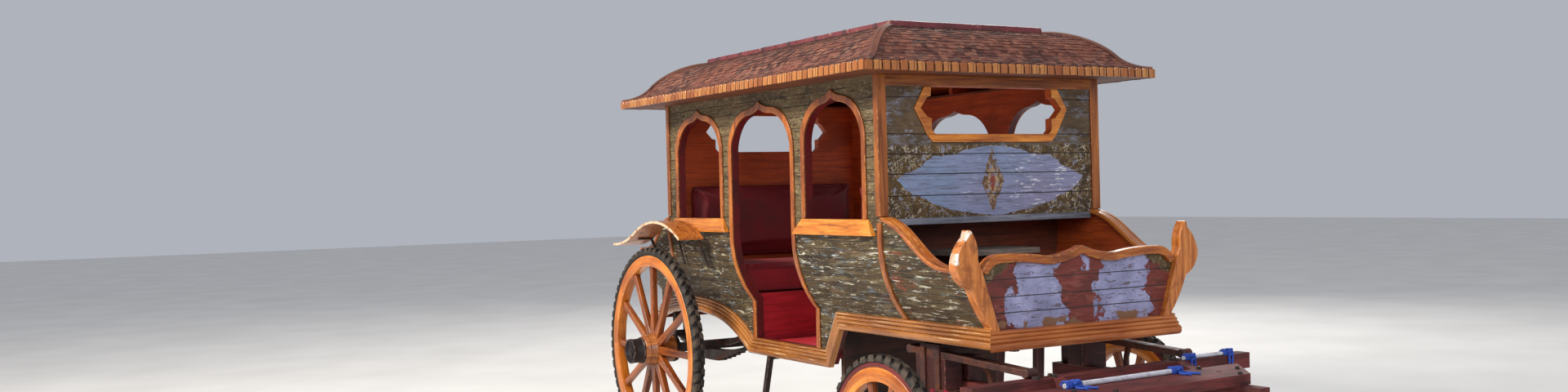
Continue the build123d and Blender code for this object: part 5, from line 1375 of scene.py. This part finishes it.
BACK = 7.0
for p0, p1, n in (((-EAVE_X - 0, Y0 - BACK + 1), (EAVE_X, Y0 - BACK + 1), (0, -1)), ((EAVE_X + BACK - 1, Y0), (EAVE_X + BACK - 1, Y1), (1, 0)),
                  ((EAVE_X, Y1 + BACK - 1), (-EAVE_X, Y1 + BACK - 1), (0, 1)), ((-EAVE_X - BACK + 1, Y1), (-EAVE_X - BACK + 1, Y0), (-1, 0))):
    a, b = Vector((p0[0], fy(p0[1]), 0)), Vector((p1[0], fy(p1[1]), 0))
    d = (b - a).normalized()
    a, b = a - d * 10.0, b + d * 10.0
    n3 = Vector((n[0], n[1], 0))
    count = round((b - a).length / PITCH)
    pitch = (b - a).length / count
    for i in range(count):
        half = pitch / 2 - r.uniform(3.2, 5.0)
        slat(a + d * pitch * (i + 0.5), d, n3 * 1.0, half, r)
o = make("fascia_slats", verts, faces, SLAT, True, gcs, edges, rnds)
fix_normals(o)
sharp_by_angle(o, 30)
backs = [o]
for lo, hi in (((-EAVE_X - BACK, Y0 - BACK), (EAVE_X + BACK, Y0)), ((-EAVE_X - BACK, Y1), (EAVE_X + BACK, Y1 + BACK)),
               ((-EAVE_X - BACK, Y0), (-EAVE_X, Y1)), ((EAVE_X, Y0), (EAVE_X + BACK, Y1))):
    backs.append(box_mesh(m3(lo[0], lo[1], 1978.0), m3(hi[0], hi[1], 2014.0), "fascia_back", SLAT_BACK_SHADE, "y", 0.001, 1))
place(join(backs, "eaves_fascia_slats"), BODY, "varnished_trim", "eaves_fascia")

# ---------------------------------------------------------------- mudguards, stays, steps
def guard_paint():
    s = Shade("mudguard_paint", Coat_Weight=0.3, Coat_Roughness=0.15)
    g = s.noise(s.gc((2.0, 26, 26)), 2.2, 6, 0.65, 0.5)
    b = s.noise(s.obj(), 9.0, 6, 0.6)
    col = s.ramp(g, (0.32, lin(122, 62, 22)), (0.5, lin(186, 108, 46)), (0.7, lin(206, 134, 68)))
    col = s.mix(s.step(b, 0.50, 0.68, 0.0, 0.6), col, lin(120, 58, 28))
    x, y, z = s.xyz(s.obj())
    # painted highlight: a pale band along the guard's outer edge, broken into chips, for the light the edge catches
    rim = s.step(s.math("ABSOLUTE", x), 0.8385, 0.8400)
    rim = s.math("MULTIPLY", rim, s.step(s.noise(s.obj(), 26.0, 5, 0.65), 0.38, 0.46))
    col = s.mix(rim, col, lin(226, 196, 160))
    spots = s.noise(s.obj(), 70.0, 6, 0.7)
    col = s.mix(s.step(spots, 0.62, 0.68, 0.0, 0.6), col, lin(84, 46, 30))
    return s.done(col, s.step(b, 0.3, 0.7, 0.3, 0.52), s.bump(g, 0.35, 0.0014))


soft_node("mudguards", guard_paint(), "y", 0.004, 3)
soft_node("mudguard_stays", IRON, "x", 0.0025, 2)
soft_node("entry_steps", IRON, "x", 0.003, 2)
for n in ("rear_axle", "spring_hangers", "rear_braces", "turntable_upper", "rear_springs"):
    soft_node(n, IRON, "y", 0.0018, 1)
soft_node("turntable_lower", IRON, "y", 0.0015, 1, FORE)
soft_node("front_axle", BRONZE_IRON, "x", 0.002, 1, FORE)
soft_node("fore_bolster", MAROON, "x", 0.004, 2, FORE)
soft_node("axle_blocks", MAROON, "x", 0.004, 2, FORE)
soft_node("spring_bars", BRONZE_IRON, "y", 0.004, 3, FORE)
# futchells and cross bars take the lit copy of the maroon timber: painted light
soft_node("futchells", MAROON_LIT, "y", 0.004, 2, FORE)
soft_node("cross_bars", MAROON_LIT, "x", 0.004, 2, FORE)
soft_node("lashed_poles", POLE, "x", 0.002, 2, FORE)

# ---------------------------------------------------------------- fittings of the fore-carriage
def fore_box(lo, hi, name, mats, axis="x", width=0.003, segs=2):
    return box_mesh(m3(*lo), m3(*hi), name, mats, axis, width, segs)


def bar_top(v):
    """Height of the spring bar's top at y = v, mm."""
    return 743.0 + (v - 35.0) / (-710.0 - 35.0) * (701.5 - 743.0) + 14.0


def disc(name, centre, axis, r0, r1, mats, n=24):
    """A short turned piece with rounded rims from centre along axis; r0 radius, r1 length. Metres."""
    axis = axis.normalized()
    a = axis.cross(Vector((0, 0, 1)) if abs(axis.z) < 0.9 else Vector((1, 0, 0))).normalized()
    b = axis.cross(a)
    sec = [(math.cos(2 * math.pi * i / n), math.sin(2 * math.pi * i / n)) for i in range(n)]
    st = [(centre + axis * q, a * sc, b * sc) for q, sc in ((0.0, r0), (r1 * 0.7, r0), (r1 * 0.92, r0 * 0.94), (r1, r0 * 0.84))]
    return sweep(name, st, sec, mats)


def nut(centre, axis, r, h, mats=None):
    return [disc("washer", centre, axis, r * 1.35, h * 0.25, mats or IRON, 20), disc("nut", centre + axis.normalized() * h * 0.25, axis, r, h, mats or IRON, 6)]


irons, timbers, paints, ropes = [], [], [], []
for s in (1, -1):
    for v in (-70.0, -168.0):
        zt = bar_top(v)
        # strap over the bar and down both faces of the block, with nuts under the plate
        path = [(s * 506, 566.0), (s * 506, zt + 4.0), (s * 436, zt + 4.0), (s * 396, zt - 34.0), (s * 396, 566.0)]
        st = []
        pts = [m3(x, v, z) for x, z in path]
        for i, q in enumerate(pts):
            d0 = (q - pts[i - 1]).normalized() if i else None
            d1 = (pts[i + 1] - q).normalized() if i < len(pts) - 1 else None
            d0, d1 = d0 or d1, d1 or d0
            t_ = (d0 + d1).normalized()
            nn = t_.cross(Vector((0, 1, 0))).normalized()
            st.append((q, Vector((0, 1, 0)), nn / max(0.5, t_.dot(d0))))
        irons.append(sweep("strap", st, [(-0.017, -0.004), (-0.017, 0.003), (-0.015, 0.005), (0.015, 0.005), (0.017, 0.003), (0.017, -0.004)], BRONZE_IRON, edge=(1, 3)))
        for x in (506, 396):
            irons += nut(m3(s * x, v, 566.0), Vector((0, 0, -1)), 0.011, 0.014)
    irons.append(fore_box((s * 450 - 62, FRONT_AXLE_Y - 104, 568.0), (s * 450 + 62, FRONT_AXLE_Y - 61, 579.0), "plate", BRONZE_IRON, "y", 0.002, 1))
    irons.append(fore_box((s * 450 - 62, FRONT_AXLE_Y + 61, 568.0), (s * 450 + 62, FRONT_AXLE_Y + 104, 579.0), "plate", BRONZE_IRON, "y", 0.002, 1))
    for v in (-136.0, -216.0):
        paints.append(disc("disc", m3(s * 500, v, 560.0), Vector((s, 0, 0)), 0.023, 0.010, RED_PAINT, 6 if v > -200 else 24))
        irons.append(disc("stem", m3(s * 470, v, 560.0), Vector((s, 0, 0)), 0.009, 0.034, IRON, 16))
    # strut from the spring bar down to the futchell
    st = [(m3(s * 452, -397, bar_top(-397) - 26), Vector((0.0085, 0, 0)), Vector((0, 0.013, 0))), (m3(s * 420, -412, 662), Vector((0.0085, 0, 0)), Vector((0, 0.012, 0))),
          (m3(s * 404, -425, 560), Vector((0.0085, 0, 0)), Vector((0, 0.014, 0)))]
    irons.append(sweep("strut", st, [(1, 0.75), (0.75, 1), (-0.75, 1), (-1, 0.75), (-1, -0.75), (-0.75, -1), (0.75, -1), (1, -0.75)], BRONZE_IRON))
    # inner packing block and the post under the bolster
    timbers.append(fore_box((s * 352 - 36, -238, 611.0), (s * 352 + 42, -140, 722.0), "packing", MAROON, "z", 0.003, 2))
    st = [(m3(s * 122, -150, 735), Vector((0.024, 0, 0)), Vector((0, 0.018, 0))), (m3(s * 130, -128, 402), Vector((0.022, 0, 0)), Vector((0, 0.017, 0)))]
    timbers.append(sweep("post", st, [(1, 0.8), (0.8, 1), (-0.8, 1), (-1, 0.8), (-1, -0.8), (-0.8, -1), (0.8, -1), (1, -0.8)], MAROON, edge=(0, 2, 4, 6)))
    # a bolt head at the bar's front end, on the rear cross bar
    irons.append(disc("bolt", m3(s * 470, -745, 680.0), Vector((0, 0, 1)), 0.017, 0.012, IRON, 20))
    # bolt heads through the cross bars into the futchells
    for v, z in ((-724.0, 680.0), (-752.0, 680.0), (-868.0, 655.0), (-1082.0, 655.0)):
        irons += nut(m3(s * 370, v, z), Vector((0, 0, 1)), 0.010, 0.010)
for x in (-488.0, 488.0):
    irons += nut(m3(x, -975.0, 655.0), Vector((0, 0, 1)), 0.010, 0.010)


def curve_through(pts, n=5):
    """Smooth line through the points."""
    out = []
    for i in range(len(pts) - 1):
        p0, p1, p2, p3 = pts[max(i - 1, 0)], pts[i], pts[i + 1], pts[min(i + 2, len(pts) - 1)]
        for j in range(n):
            q = j / n
            out.append(0.5 * ((2 * p1) + (p2 - p0) * q + (2 * p0 - 5 * p1 + 4 * p2 - p3) * q * q + (3 * p1 - p0 - 3 * p2 + p3) * q**3))
    out.append(pts[-1])
    return out


def lashing(cx, cv, cz, r, width, turns, seed, hang):
    """Turns of rope wound tight round a pole along x, with a knot and two limp tails:
    on the plank they lie down, on the rear bar they hang over its front edge."""
    rr = random.Random(seed)
    out = []
    pts = []
    n = turns * 14
    for i in range(n + 1):
        a = 2 * math.pi * i / 14
        f = i / n
        x = cx - width / 2 + width * (f + 0.05 * math.sin(f * 9 + seed)) + rr.uniform(-1.0, 1.0)
        e = 4.4 + 1.6 * math.sin(f * 23 + seed)
        pts.append(m3(x, cv + (r + e) * math.cos(a), cz + (r + e) * math.sin(a)))
    out.append((pts, 0.0056))
    x = cx + width * 0.12
    for k_, (dx, ph) in enumerate(((0.0, 0.0), (7.0, 1.1))):
        knot = [m3(x + dx + 12 * math.cos(a), cv - (r + 6) + 7 * math.sin(a * 2 + ph), cz + 5 + 11 * math.sin(a + ph * 0.4)) for a in [2 * math.pi * i / 18 for i in range(19)]]
        out.append((knot, 0.0058))
    for d in (1, -1):
        if hang:
            way = [(x + d * 4, cv - r - 5, cz + 2), (x + d * 9, cv - r - 14, cz - 5), (x + d * 12, -777.5, cz - 20), (x + d * 9, -779.0, cz - 38 - 6 * d), (x + d * 15, -778.5, cz - 52 - 8 * d)]
        else:
            top = cz - r + 5.6
            way = [(x + d * 4, cv - r - 5, cz + 1), (x + d * 11, cv - r - 16, top + 2), (x + d * 24, cv - r - 30, top), (x + d * 27, cv - r - 50, top),
                   (x + d * (18 + 6 * d), cv - r - 68, top), (x + d * (30 + 10 * d), cv - r - 84, top)]
        out.append((curve_through([m3(*q) for q in way]), 0.0052))
    objs = []
    for path, rad in out:
        st = []
        for i, q in enumerate(path):
            t_ = (path[min(i + 1, len(path) - 1)] - path[max(i - 1, 0)]).normalized()
            ref = Vector((0, 0, 1)) if abs(t_.z) < 0.8 else Vector((1, 0, 0))
            a = t_.cross(ref).normalized()
            st.append((q, a, t_.cross(a).normalized()))
        sec = [(rad * math.cos(2 * math.pi * i / 8), rad * math.sin(2 * math.pi * i / 8)) for i in range(8)]
        objs.append(sweep("rope", st, sec, ROPE))
    return objs


for cx, cv, cz, r, w, k, sd, hang in ((-413.0, -888.0, 666.0, 11.0, 92.0, 9, 1, False), (196.0, -888.0, 666.0, 11.0, 66.0, 7, 2, False),
                                      (438.0, -757.0, 689.0, 9.0, 56.0, 6, 3, True), (690.0, -757.0, 689.0, 9.0, 56.0, 6, 4, True)):
    ropes += lashing(cx, cv, cz, r, w, k, sd, hang)
for objs, name, slot in ((irons, "fore_irons", "iron"), (timbers, "fore_timbers", "maroon_timber"), (paints, "fore_red_discs", "iron"), (ropes, "fore_rope_lashings", "white_pole")):
    o = join(objs, name)
    turned(o)
    place(o, FORE, slot)

# ---------------------------------------------------------------- wheels
WHEELS = (
    ("rear", REAR_AXLE_Y, REAR_R, 538.0, 62.0, 784.0, 66.0, 788.0, 58.0, 90.0, 12, 690.0, 904.0, 976.0, 22.0, False, 58),
    ("front", FRONT_AXLE_Y, FRONT_R, 342.0, 84.0, 733.0, 66.0, 737.0, 58.0, 74.0, 10, 665.0, 815.0, 885.0, 20.0, True, 38),
)
BAND_RED = dull_wood("rim_band", lin(70, 16, 18), lin(124, 36, 34), lin(150, 60, 50), 0.5, 0.3, lin(60, 40, 34), 0.64)


def rim_profile(x0, x1, r0, r1, c=5.0):
    return [(x0 + c, r0), (x1 - c, r0), (x1 - c * 0.3, r0 + c * 0.3), (x1, r0 + c), (x1, (r0 + r1) / 2), (x1, r1 - c), (x1 - c * 0.3, r1 - c * 0.3),
            (x1 - c, r1), (x0 + c, r1), (x0 + c * 0.3, r1 - c * 0.3), (x0, r1 - c), (x0, (r0 + r1) / 2), (x0, r0 + c), (x0 + c * 0.3, r0 + c * 0.3)]


for (end, ya, rt, rr, rd, tx, tw, rx, rw, rh, n, h0, h1, h2, sr, steer, lugs) in WHEELS:
    for side, s in (("left", 1), ("right", -1)):
        body = "%s_%s_wheel_body" % (end, side)
        c = Vector((0, fy(ya) / 1000, rt / 1000))
        parts = []
        # felloe with fine joints between its segments
        steps = 120
        joints_at = {(k_ * steps // 6 + 5) % steps for k_ in range(6)}

        def pinch(i, j, r_, joints_at=joints_at):
            return r_
        prof = [(a / 1000, b / 1000) for a, b in rim_profile(rx, rx + rw, rr - rd, rr - (20 if steer else 0))]
        angles = []
        for i in range(steps):
            a = 2 * math.pi * i / steps
            if i in joints_at:
                e = 0.0012 / (rr / 1000)
                angles += [(a - 2.2 * e, 0), (a - e, 1), (a + e, 1), (a + 2.2 * e, 0)]
            else:
                angles.append((a, 0))
        k = len(prof)
        mid_r = (rr - rd / 2) / 1000
        verts, gcs, faces, ed = [], [], [], []
        for a, g in angles:
            for x, q in prof:
                xx = x - (math.copysign(0.0018, x - (rx + rw / 2) / 1000) if g else 0)
                qq = q - (math.copysign(0.0018, q - mid_r) if g else 0)
                verts.append((s * xx, c.y + qq * math.cos(a), c.z + qq * math.sin(a)))
                gcs.append((a * mid_r, x, q))
        for i in range(len(angles)):
            i2 = (i + 1) % len(angles)
            for j in range(k):
                j2 = (j + 1) % k
                faces.append((i * k + j, i * k + j2, i2 * k + j2, i2 * k + j))
                ed.append(1.0 if j in (1, 2, 5, 6, 8, 9, 12, 13) else 0.0)
        o = make("felloe", verts, faces, [WHEEL_WOOD], True, gcs, ed)
        fix_normals(o)
        sharp_by_angle(o, 50)
        parts.append(o)
        if steer:
            o = lathe("band", [(a / 1000, b / 1000) for a, b in rim_profile(rx + 1.5, rx + rw - 1.5, rr - 20, rr, 2.5)], c, s, BAND_RED, 120, mid_r)
            parts.append(o)
        # spokes: broad feet in the hub, waisted, rectangular
        xc = (rx + rw / 2) / 1000
        for i in range(n):
            a = 2 * math.pi * i / n
            er = Vector((0, math.cos(a), math.sin(a)))
            et = Vector((0, -math.sin(a), math.cos(a)))
            ex = Vector((1, 0, 0))
            st = []
            r0, r1 = (rh - 12) / 1000, (rr - rd + 5) / 1000
            for f, w, th in ((0.0, rh * 0.27, 19.0), (0.10, rh * 0.26, 19.0), (0.20, 20.0, 17.5), (0.5, 17.0, 15.5), (0.88, 17.5, 15.0), (0.94, 19.0, 15.5), (1.0, 19.5, 15.5)):
                p = Vector((s * xc, c.y, c.z)) + er * (r0 + (r1 - r0) * f)
                st.append((p, et * (w / 1000), ex * (th / 1000)))
            sec = [(1.0, 0.80), (0.86, 1.0), (-0.86, 1.0), (-1.0, 0.80), (-1.0, -0.80), (-0.86, -1.0), (0.86, -1.0), (1.0, -0.80)]
            # spokes take the darker wheel varnish: partly painted shade
            o = sweep("spoke", st, sec, SPOKE_WOOD_SHADED, edge=(0, 2, 4, 6), offset=i * 0.41)
            me = o.data
            co = coords(me)
            rel = co - np.array((s * xc, c.y, c.z))
            g = np.stack([rel @ np.array(er) + i * 0.61, rel @ np.array(et), rel[:, 0]], 1)
            set_attr(me, "gc", "FLOAT_VECTOR", "POINT", g)
            parts.append(o)
        # hub: turned barrel with shallow beads
        hub = [(h0, sr + 2), (h0, rh * 0.70), (h0 + 4, rh * 0.78), (h0 + 26, rh * 0.84), (h0 + 30, rh * 0.88), (h0 + 36, rh * 0.88), (h0 + 42, rh * 0.86),
               (rx + rw / 2 - 30, rh), (rx + rw / 2 - 24, rh + 2.5), (rx + rw / 2 + 24, rh + 2.5), (rx + rw / 2 + 30, rh), (h1 - 30, rh * 0.90),
               (h1 - 24, rh * 0.93), (h1 - 18, rh * 0.90), (h1 - 4, rh * 0.86), (h1, rh * 0.80), (h1, sr + 2)]
        o = lathe("hub", [(a / 1000, b / 1000) for a, b in hub], c, s, SPOKE_WOOD_SHADED if steer else BARREL_WOOD, 72, None,
                  edge_of=lambda j: 1.0 if j in (4, 7, 9, 11, 12) else 0.0)
        # the barrel's grain runs along the axle
        co = coords(o.data)
        ang = np.arctan2(co[:, 2] - c.z, co[:, 1] - c.y)
        set_attr(o.data, "gc", "FLOAT_VECTOR", "POINT", np.stack([co[:, 0], ang * rh / 1000, np.zeros(len(co))], 1))
        parts.append(o)
        place(join(parts, "%s_wheel_%s_wood" % (end, side)), body, "wheel_wood", "%s_wheel_%s" % (end, side))
        w_obj = bpy.data.objects["%s_wheel_%s_wood" % (end, side)]
        # iron hub end: cylinder with a rolled lip, recessed face, nut and six bolt heads; iron band behind
        re = rh * 0.76
        capp = [(h1 - 6, sr + 6), (h1 - 6, re + 3), (h1 - 3, re + 5), (h1 + 7, re + 5), (h1 + 10, re + 2), (h1 + 14, re), (h2 - 14, re - 1), (h2 - 11, re + 1.5), (h2 - 3, re + 1.5),
                (h2 - 0.5, re - 1), (h2, re - 4), (h2 - 1, re - 9), (h2 - 9, re - 12), (h2 - 11, re - 16), (h2 - 12, 30), (h2 - 5, 28), (h2 - 3, 25), (h2 - 3, 0.5)]
        o1 = lathe("hubcap", [(a / 1000, b / 1000) for a, b in capp], c, s, DARK_IRON, 72, None, close=False,
                   edge_of=lambda j: 1.0 if j in (2, 3, 7, 8, 9) else 0.0)
        inb = [(h0 - 1, rh * 0.70), (h0 - 1, rh * 0.80 + 2), (h0 + 1, rh * 0.80 + 4), (h0 + 18, rh * 0.84 + 4), (h0 + 20, rh * 0.84 + 1), (h0 + 20, rh * 0.70)]
        o2 = lathe("hubband", [(a / 1000, b / 1000) for a, b in inb], c, s, DARK_IRON, 72, None)
        nut_parts = [o1, o2]
        hexa = []
        for i in range(6):
            a = math.radians(60 * i + 14)
            hexa.append((0.019 * math.cos(a), 0.019 * math.sin(a)))
        st = [(Vector((s * q / 1000, c.y, c.z)), Vector((0, sc, 0)), Vector((0, 0, sc))) for q, sc in ((h2 - 12, 1.0), (h2 - 2.0, 1.0), (h2 - 0.4, 0.86))]
        nut_parts.append(sweep("nut", st, hexa, DARK_IRON, edge=()))
        for i in range(6):
            a = math.radians(60 * i + 30)
            p = Vector((s * (h2 - 10.5) / 1000, c.y + (re - 24) / 1000 * math.cos(a), c.z + (re - 24) / 1000 * math.sin(a)))
            st = [(p + Vector((s * q, 0, 0)), Vector((0, sc, 0)), Vector((0, 0, sc))) for q, sc in ((-0.003, 1.0), (0.003, 1.0), (0.005, 0.7))]
            bolt = [(0.0062 * math.cos(b_), 0.0062 * math.sin(b_)) for b_ in [math.radians(q) for q in range(0, 360, 60)]]
            nut_parts.append(sweep("bolt", st, bolt, DARK_IRON))
        iron_o = join(nut_parts, "%s_hub_iron_%s" % (end, side))
        # tyre: carcass and blocks
        x0, x1 = tx / 1000, (tx + tw) / 1000
        R0, RT = rr / 1000 + 0.001, rt / 1000
        D = 0.011
        car = [(x0 + 0.006, R0), (x1 - 0.006, R0), (x1 - 0.001, R0 + 0.006), (x1 - 0.0035, RT - 0.024), (x1 - 0.010, RT - 0.0135), (x1 - 0.026, RT - D),
               ((x0 + x1) / 2, RT - D + 0.001), (x0 + 0.026, RT - D), (x0 + 0.010, RT - 0.0135), (x0 + 0.0035, RT - 0.024), (x0 + 0.001, R0 + 0.006)]
        tyre_o = lathe("carcass", car, c, s, RUBBER, 120, RT)
        set_attr(tyre_o.data, "rnd", "FLOAT", "FACE", np.zeros(len(tyre_o.data.polygons)))
        verts, faces, rn = [], [], []
        pitch = 2 * math.pi / lugs
        mid = (x0 + x1) / 2
        half_w = (x1 - x0) / 2
        lr = random.Random(lugs)
        for i in range(lugs):
            for d in (-1, 1):
                a0 = pitch * (i + (0.5 if d > 0 else 0.0)) + lr.uniform(-0.004, 0.004)
                stations_ = ((0.002, RT - 0.0005, 0.010, 0.0), (half_w * 0.55, RT - 0.001, 0.010, 0.10), (half_w - 0.009, RT - 0.0045, 0.008, 0.22),
                             (half_w - 0.0012, RT - 0.016, 0.006, 0.30), (half_w - 0.0005, RT - 0.030, 0.0025, 0.34))
                b = len(verts)
                for (dx, rad, dep, sk) in stations_:
                    aa = a0 + pitch * sk
                    hw = pitch * (0.30 if dx < 0.02 else 0.33)
                    inx = dx - (dep if rad < RT - 0.01 else 0.0) * 0.9
                    inr = rad - (dep if rad >= RT - 0.01 else 0.002)
                    for (q, qr, ww) in ((inx, inr, hw * 1.08), (dx, rad, hw * 0.90)):
                        for w_ in (-1, 1):
                            ang = aa + w_ * ww
                            verts.append((s * (mid + d * q), c.y + qr * math.cos(ang), c.z + qr * math.sin(ang)))
                m = len(stations_)
                for q in range(m - 1):
                    p, t = b + 4 * q, b + 4 * (q + 1)
                    faces += [(p, p + 1, t + 1, t), (p + 2, t + 2, t + 3, p + 3), (p, t, t + 2, p + 2), (p + 1, p + 3, t + 3, t + 1)]
                    rn += [0.0, 1.0, 0.3, 0.3]
                faces += [(b, b + 2, b + 3, b + 1), (b + 4 * (m - 1), b + 4 * (m - 1) + 1, b + 4 * (m - 1) + 3, b + 4 * (m - 1) + 2)]
                rn += [0.3, 0.3]
        lug_o = make("lugs", verts, faces, RUBBER, False, None, None, rn)
        fix_normals(lug_o)
        tyre_all = join([tyre_o, lug_o], "%s_tyre_%s_rubber" % (end, side))
        if steer:
            for q in (w_obj, iron_o, tyre_all):
                q.parent = None
                turned(q)
            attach(w_obj, body)
        place(iron_o, body, "wheel_wood")
        place(tyre_all, body, "tyre", "%s_tyre_%s" % (end, side))

# ---------------------------------------------------------------- cushions
def rounded_block(lo, hi, r, name, under=0.0):
    """A block with rounded edges, narrower below by `under` at each end, as a base for the padding."""
    lo, hi = Vector(lo), Vector(hi)
    v = [(x + (under if x == lo.x else -under) * (z == lo.z), y, z) for x in (lo.x, hi.x) for y in (lo.y, hi.y) for z in (lo.z, hi.z)]
    f = [(0, 1, 3, 2), (4, 6, 7, 5), (0, 4, 5, 1), (2, 3, 7, 6), (0, 2, 6, 4), (1, 5, 7, 3)]
    me = bpy.data.meshes.new(name)
    me.from_pydata(v, [], f)
    o = bpy.data.objects.new(name, me)
    bpy.context.scene.collection.objects.link(o)
    fix_normals(o)
    b = o.modifiers.new("round", "BEVEL")
    b.width = r
    b.segments = 4
    b.limit_method = "NONE"
    apply_all(o)
    return o


def cushion(node, inset, voxel, cap, radius, under=0.0, pressure=4.0):
    lo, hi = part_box(node)
    ins = Vector(inset)
    o = rounded_block(lo + ins, hi - ins, radius, node + "_padding", under)
    rm = o.modifiers.new("remesh", "REMESH")
    rm.mode = "VOXEL"
    rm.voxel_size = voxel
    apply_all(o)
    rest = coords(o.data).copy()
    scene = bpy.context.scene
    bpy.context.view_layer.objects.active = o
    # the underside rests on the board
    vg = o.vertex_groups.new(name="hold")
    seat = hi.z - lo.z < hi.y - lo.y
    hold = [i for i, p in enumerate(rest) if (p[2] < lo.z + ins.z + voxel * 1.2 if seat else
                                             (p[1] > hi.y - ins.y - voxel * 1.2 if node.startswith("rear") else p[1] < lo.y + ins.y + voxel * 1.2))]
    vg.add(hold, 1.0, "REPLACE")
    cl = o.modifiers.new("pad", "CLOTH")
    cl.settings.use_pressure = True
    cl.settings.uniform_pressure_force = pressure
    cl.settings.effector_weights.gravity = 0.0
    cl.settings.vertex_group_mass = "hold"
    cl.settings.tension_stiffness = 12
    cl.settings.compression_stiffness = 12
    cl.settings.bending_stiffness = 0.6
    cl.settings.quality = 4
    cl.point_cache.frame_start = 1
    cl.point_cache.frame_end = 24
    for f in range(1, 21):
        scene.frame_set(f)
    dg = bpy.context.evaluated_depsgraph_get()
    me = bpy.data.meshes.new_from_object(o.evaluated_get(dg), depsgraph=dg)
    after = coords(me)
    d = after - rest
    ln = np.linalg.norm(d, axis=1, keepdims=True)
    d = d * np.minimum(1.0, cap / np.maximum(ln, 1e-9))
    after = rest + d
    low, high = np.array(lo) - np.array((0.004, 0.004, 0.004)), np.array(hi) + np.array((0.004, 0.006, 0.006))
    after = np.clip(after, low, high)
    # the ends lean with the wall
    mid = (lo.x + hi.x) / 2
    reach = hi.x - mid + 0.004 - under * (1.0 - np.clip((after[:, 2] - lo.z) / (hi.z - lo.z), 0.0, 1.0))
    after[:, 0] = mid + np.clip(after[:, 0] - mid, -reach, reach)
    o.modifiers.clear()
    o.data.vertices.foreach_set("co", after.astype(np.float32).ravel())
    o.data.update()
    bpy.data.meshes.remove(me)
    scene.frame_set(1)
    o.vertex_groups.clear()
    sm = o.modifiers.new("smooth", "SMOOTH")
    sm.iterations = 3
    sm.factor = 0.5
    apply_all(o)
    o.data.polygons.foreach_set("use_smooth", [True] * len(o.data.polygons))
    o.data.materials.clear()
    # the backs take the cloth darkened as painted shade
    o.data.materials.append(SEAT_BACK_SHADED if "back" in node else SEAT)
    grain(o, "x")
    return o, lo + ins, hi - ins


def piping(path, radius, name, closed=True):
    """A sewn welt along a closed path."""
    n = len(path)
    st = []
    for i, p in enumerate(path):
        t = (path[(i + 1) % n] - path[i - 1]).normalized()
        a = t.cross(Vector((0, 0, 1)) if abs(t.z) < 0.9 else Vector((0, 1, 0))).normalized()
        st.append((p, a, t.cross(a).normalized()))
    sec = [(radius * math.cos(q), radius * math.sin(q)) for q in [2 * math.pi * i / 8 for i in range(8)]]
    return sweep(name, st, sec, SEAT, closed_path=closed, edge=tuple(range(8)))


def nearest_surface(o, pts, push=0.0):
    from mathutils.bvhtree import BVHTree
    bm = bmesh.new()
    bm.from_mesh(o.data)
    tree = BVHTree.FromBMesh(bm)
    out = []
    for p in pts:
        q, n, i, d = tree.find_nearest(p)
        out.append(q + n * push)
    bm.free()
    return out


for node, inset, cap, radius in (("rear_seat_cushion", (0.004, 0.005, 0.004), 0.022, 0.022), ("rear_seat_back", (0.004, 0.012, 0.010), 0.022, 0.028),
                                 ("front_seat_cushion", (0.004, 0.005, 0.004), 0.022, 0.022), ("front_seat_back", (0.004, 0.012, 0.010), 0.022, 0.028)):
    seat = "cushion" in node
    under = 0.074 if seat else 0.0
    o, lo, hi = cushion(node, inset, 0.0095, cap, radius, under)
    welts = []
    corner = 0.03
    if seat:
        for z in (lo.z + 0.006, hi.z - 0.006):
            base = []
            x0, x1 = (lo.x + under, hi.x - under) if z < (lo.z + hi.z) / 2 else (lo.x, hi.x)
            for cx, cy, a0 in ((x1 - corner, hi.y - corner, 0), (x0 + corner, hi.y - corner, 90), (x0 + corner, lo.y + corner, 180), (x1 - corner, lo.y + corner, 270)):
                for q in range(7):
                    a = math.radians(a0 + 15 * q)
                    base.append(Vector((cx + corner * math.cos(a), cy + corner * math.sin(a), z)))
            dense = []
            for i, p in enumerate(base):
                q = base[(i + 1) % len(base)]
                m = max(1, int((q - p).length / 0.03))
                dense += [p.lerp(q, j / m) for j in range(m)]
            welts.append(piping(nearest_surface(o, dense, 0.0008), 0.0042, "welt"))
    else:
        y = lo.y + 0.012 if node.startswith("rear") else hi.y - 0.012
        base = []
        for cx, cz, a0 in ((hi.x - corner, hi.z - corner, 0), (lo.x + corner, hi.z - corner, 90), (lo.x + corner, lo.z + corner, 180), (hi.x - corner, lo.z + corner, 270)):
            for q in range(7):
                a = math.radians(a0 + 15 * q)
                base.append(Vector((cx + corner * math.cos(a), y, cz + corner * math.sin(a))))
        dense = []
        for i, p in enumerate(base):
            q = base[(i + 1) % len(base)]
            m = max(1, int((q - p).length / 0.03))
            dense += [p.lerp(q, j / m) for j in range(m)]
        welts.append(piping(nearest_surface(o, dense, 0.0008), 0.0042, "welt"))
    sub = o.modifiers.new("sub", "SUBSURF")
    sub.levels = 1
    apply_all(o)
    o.data.polygons.foreach_set("use_smooth", [True] * len(o.data.polygons))
    ensure_attrs(o)
    grain(o, "x")
    ensure_attrs(o)
    pad = join([o] + welts, node + "_pad")
    place(pad, BODY, "seat_cloth", node)
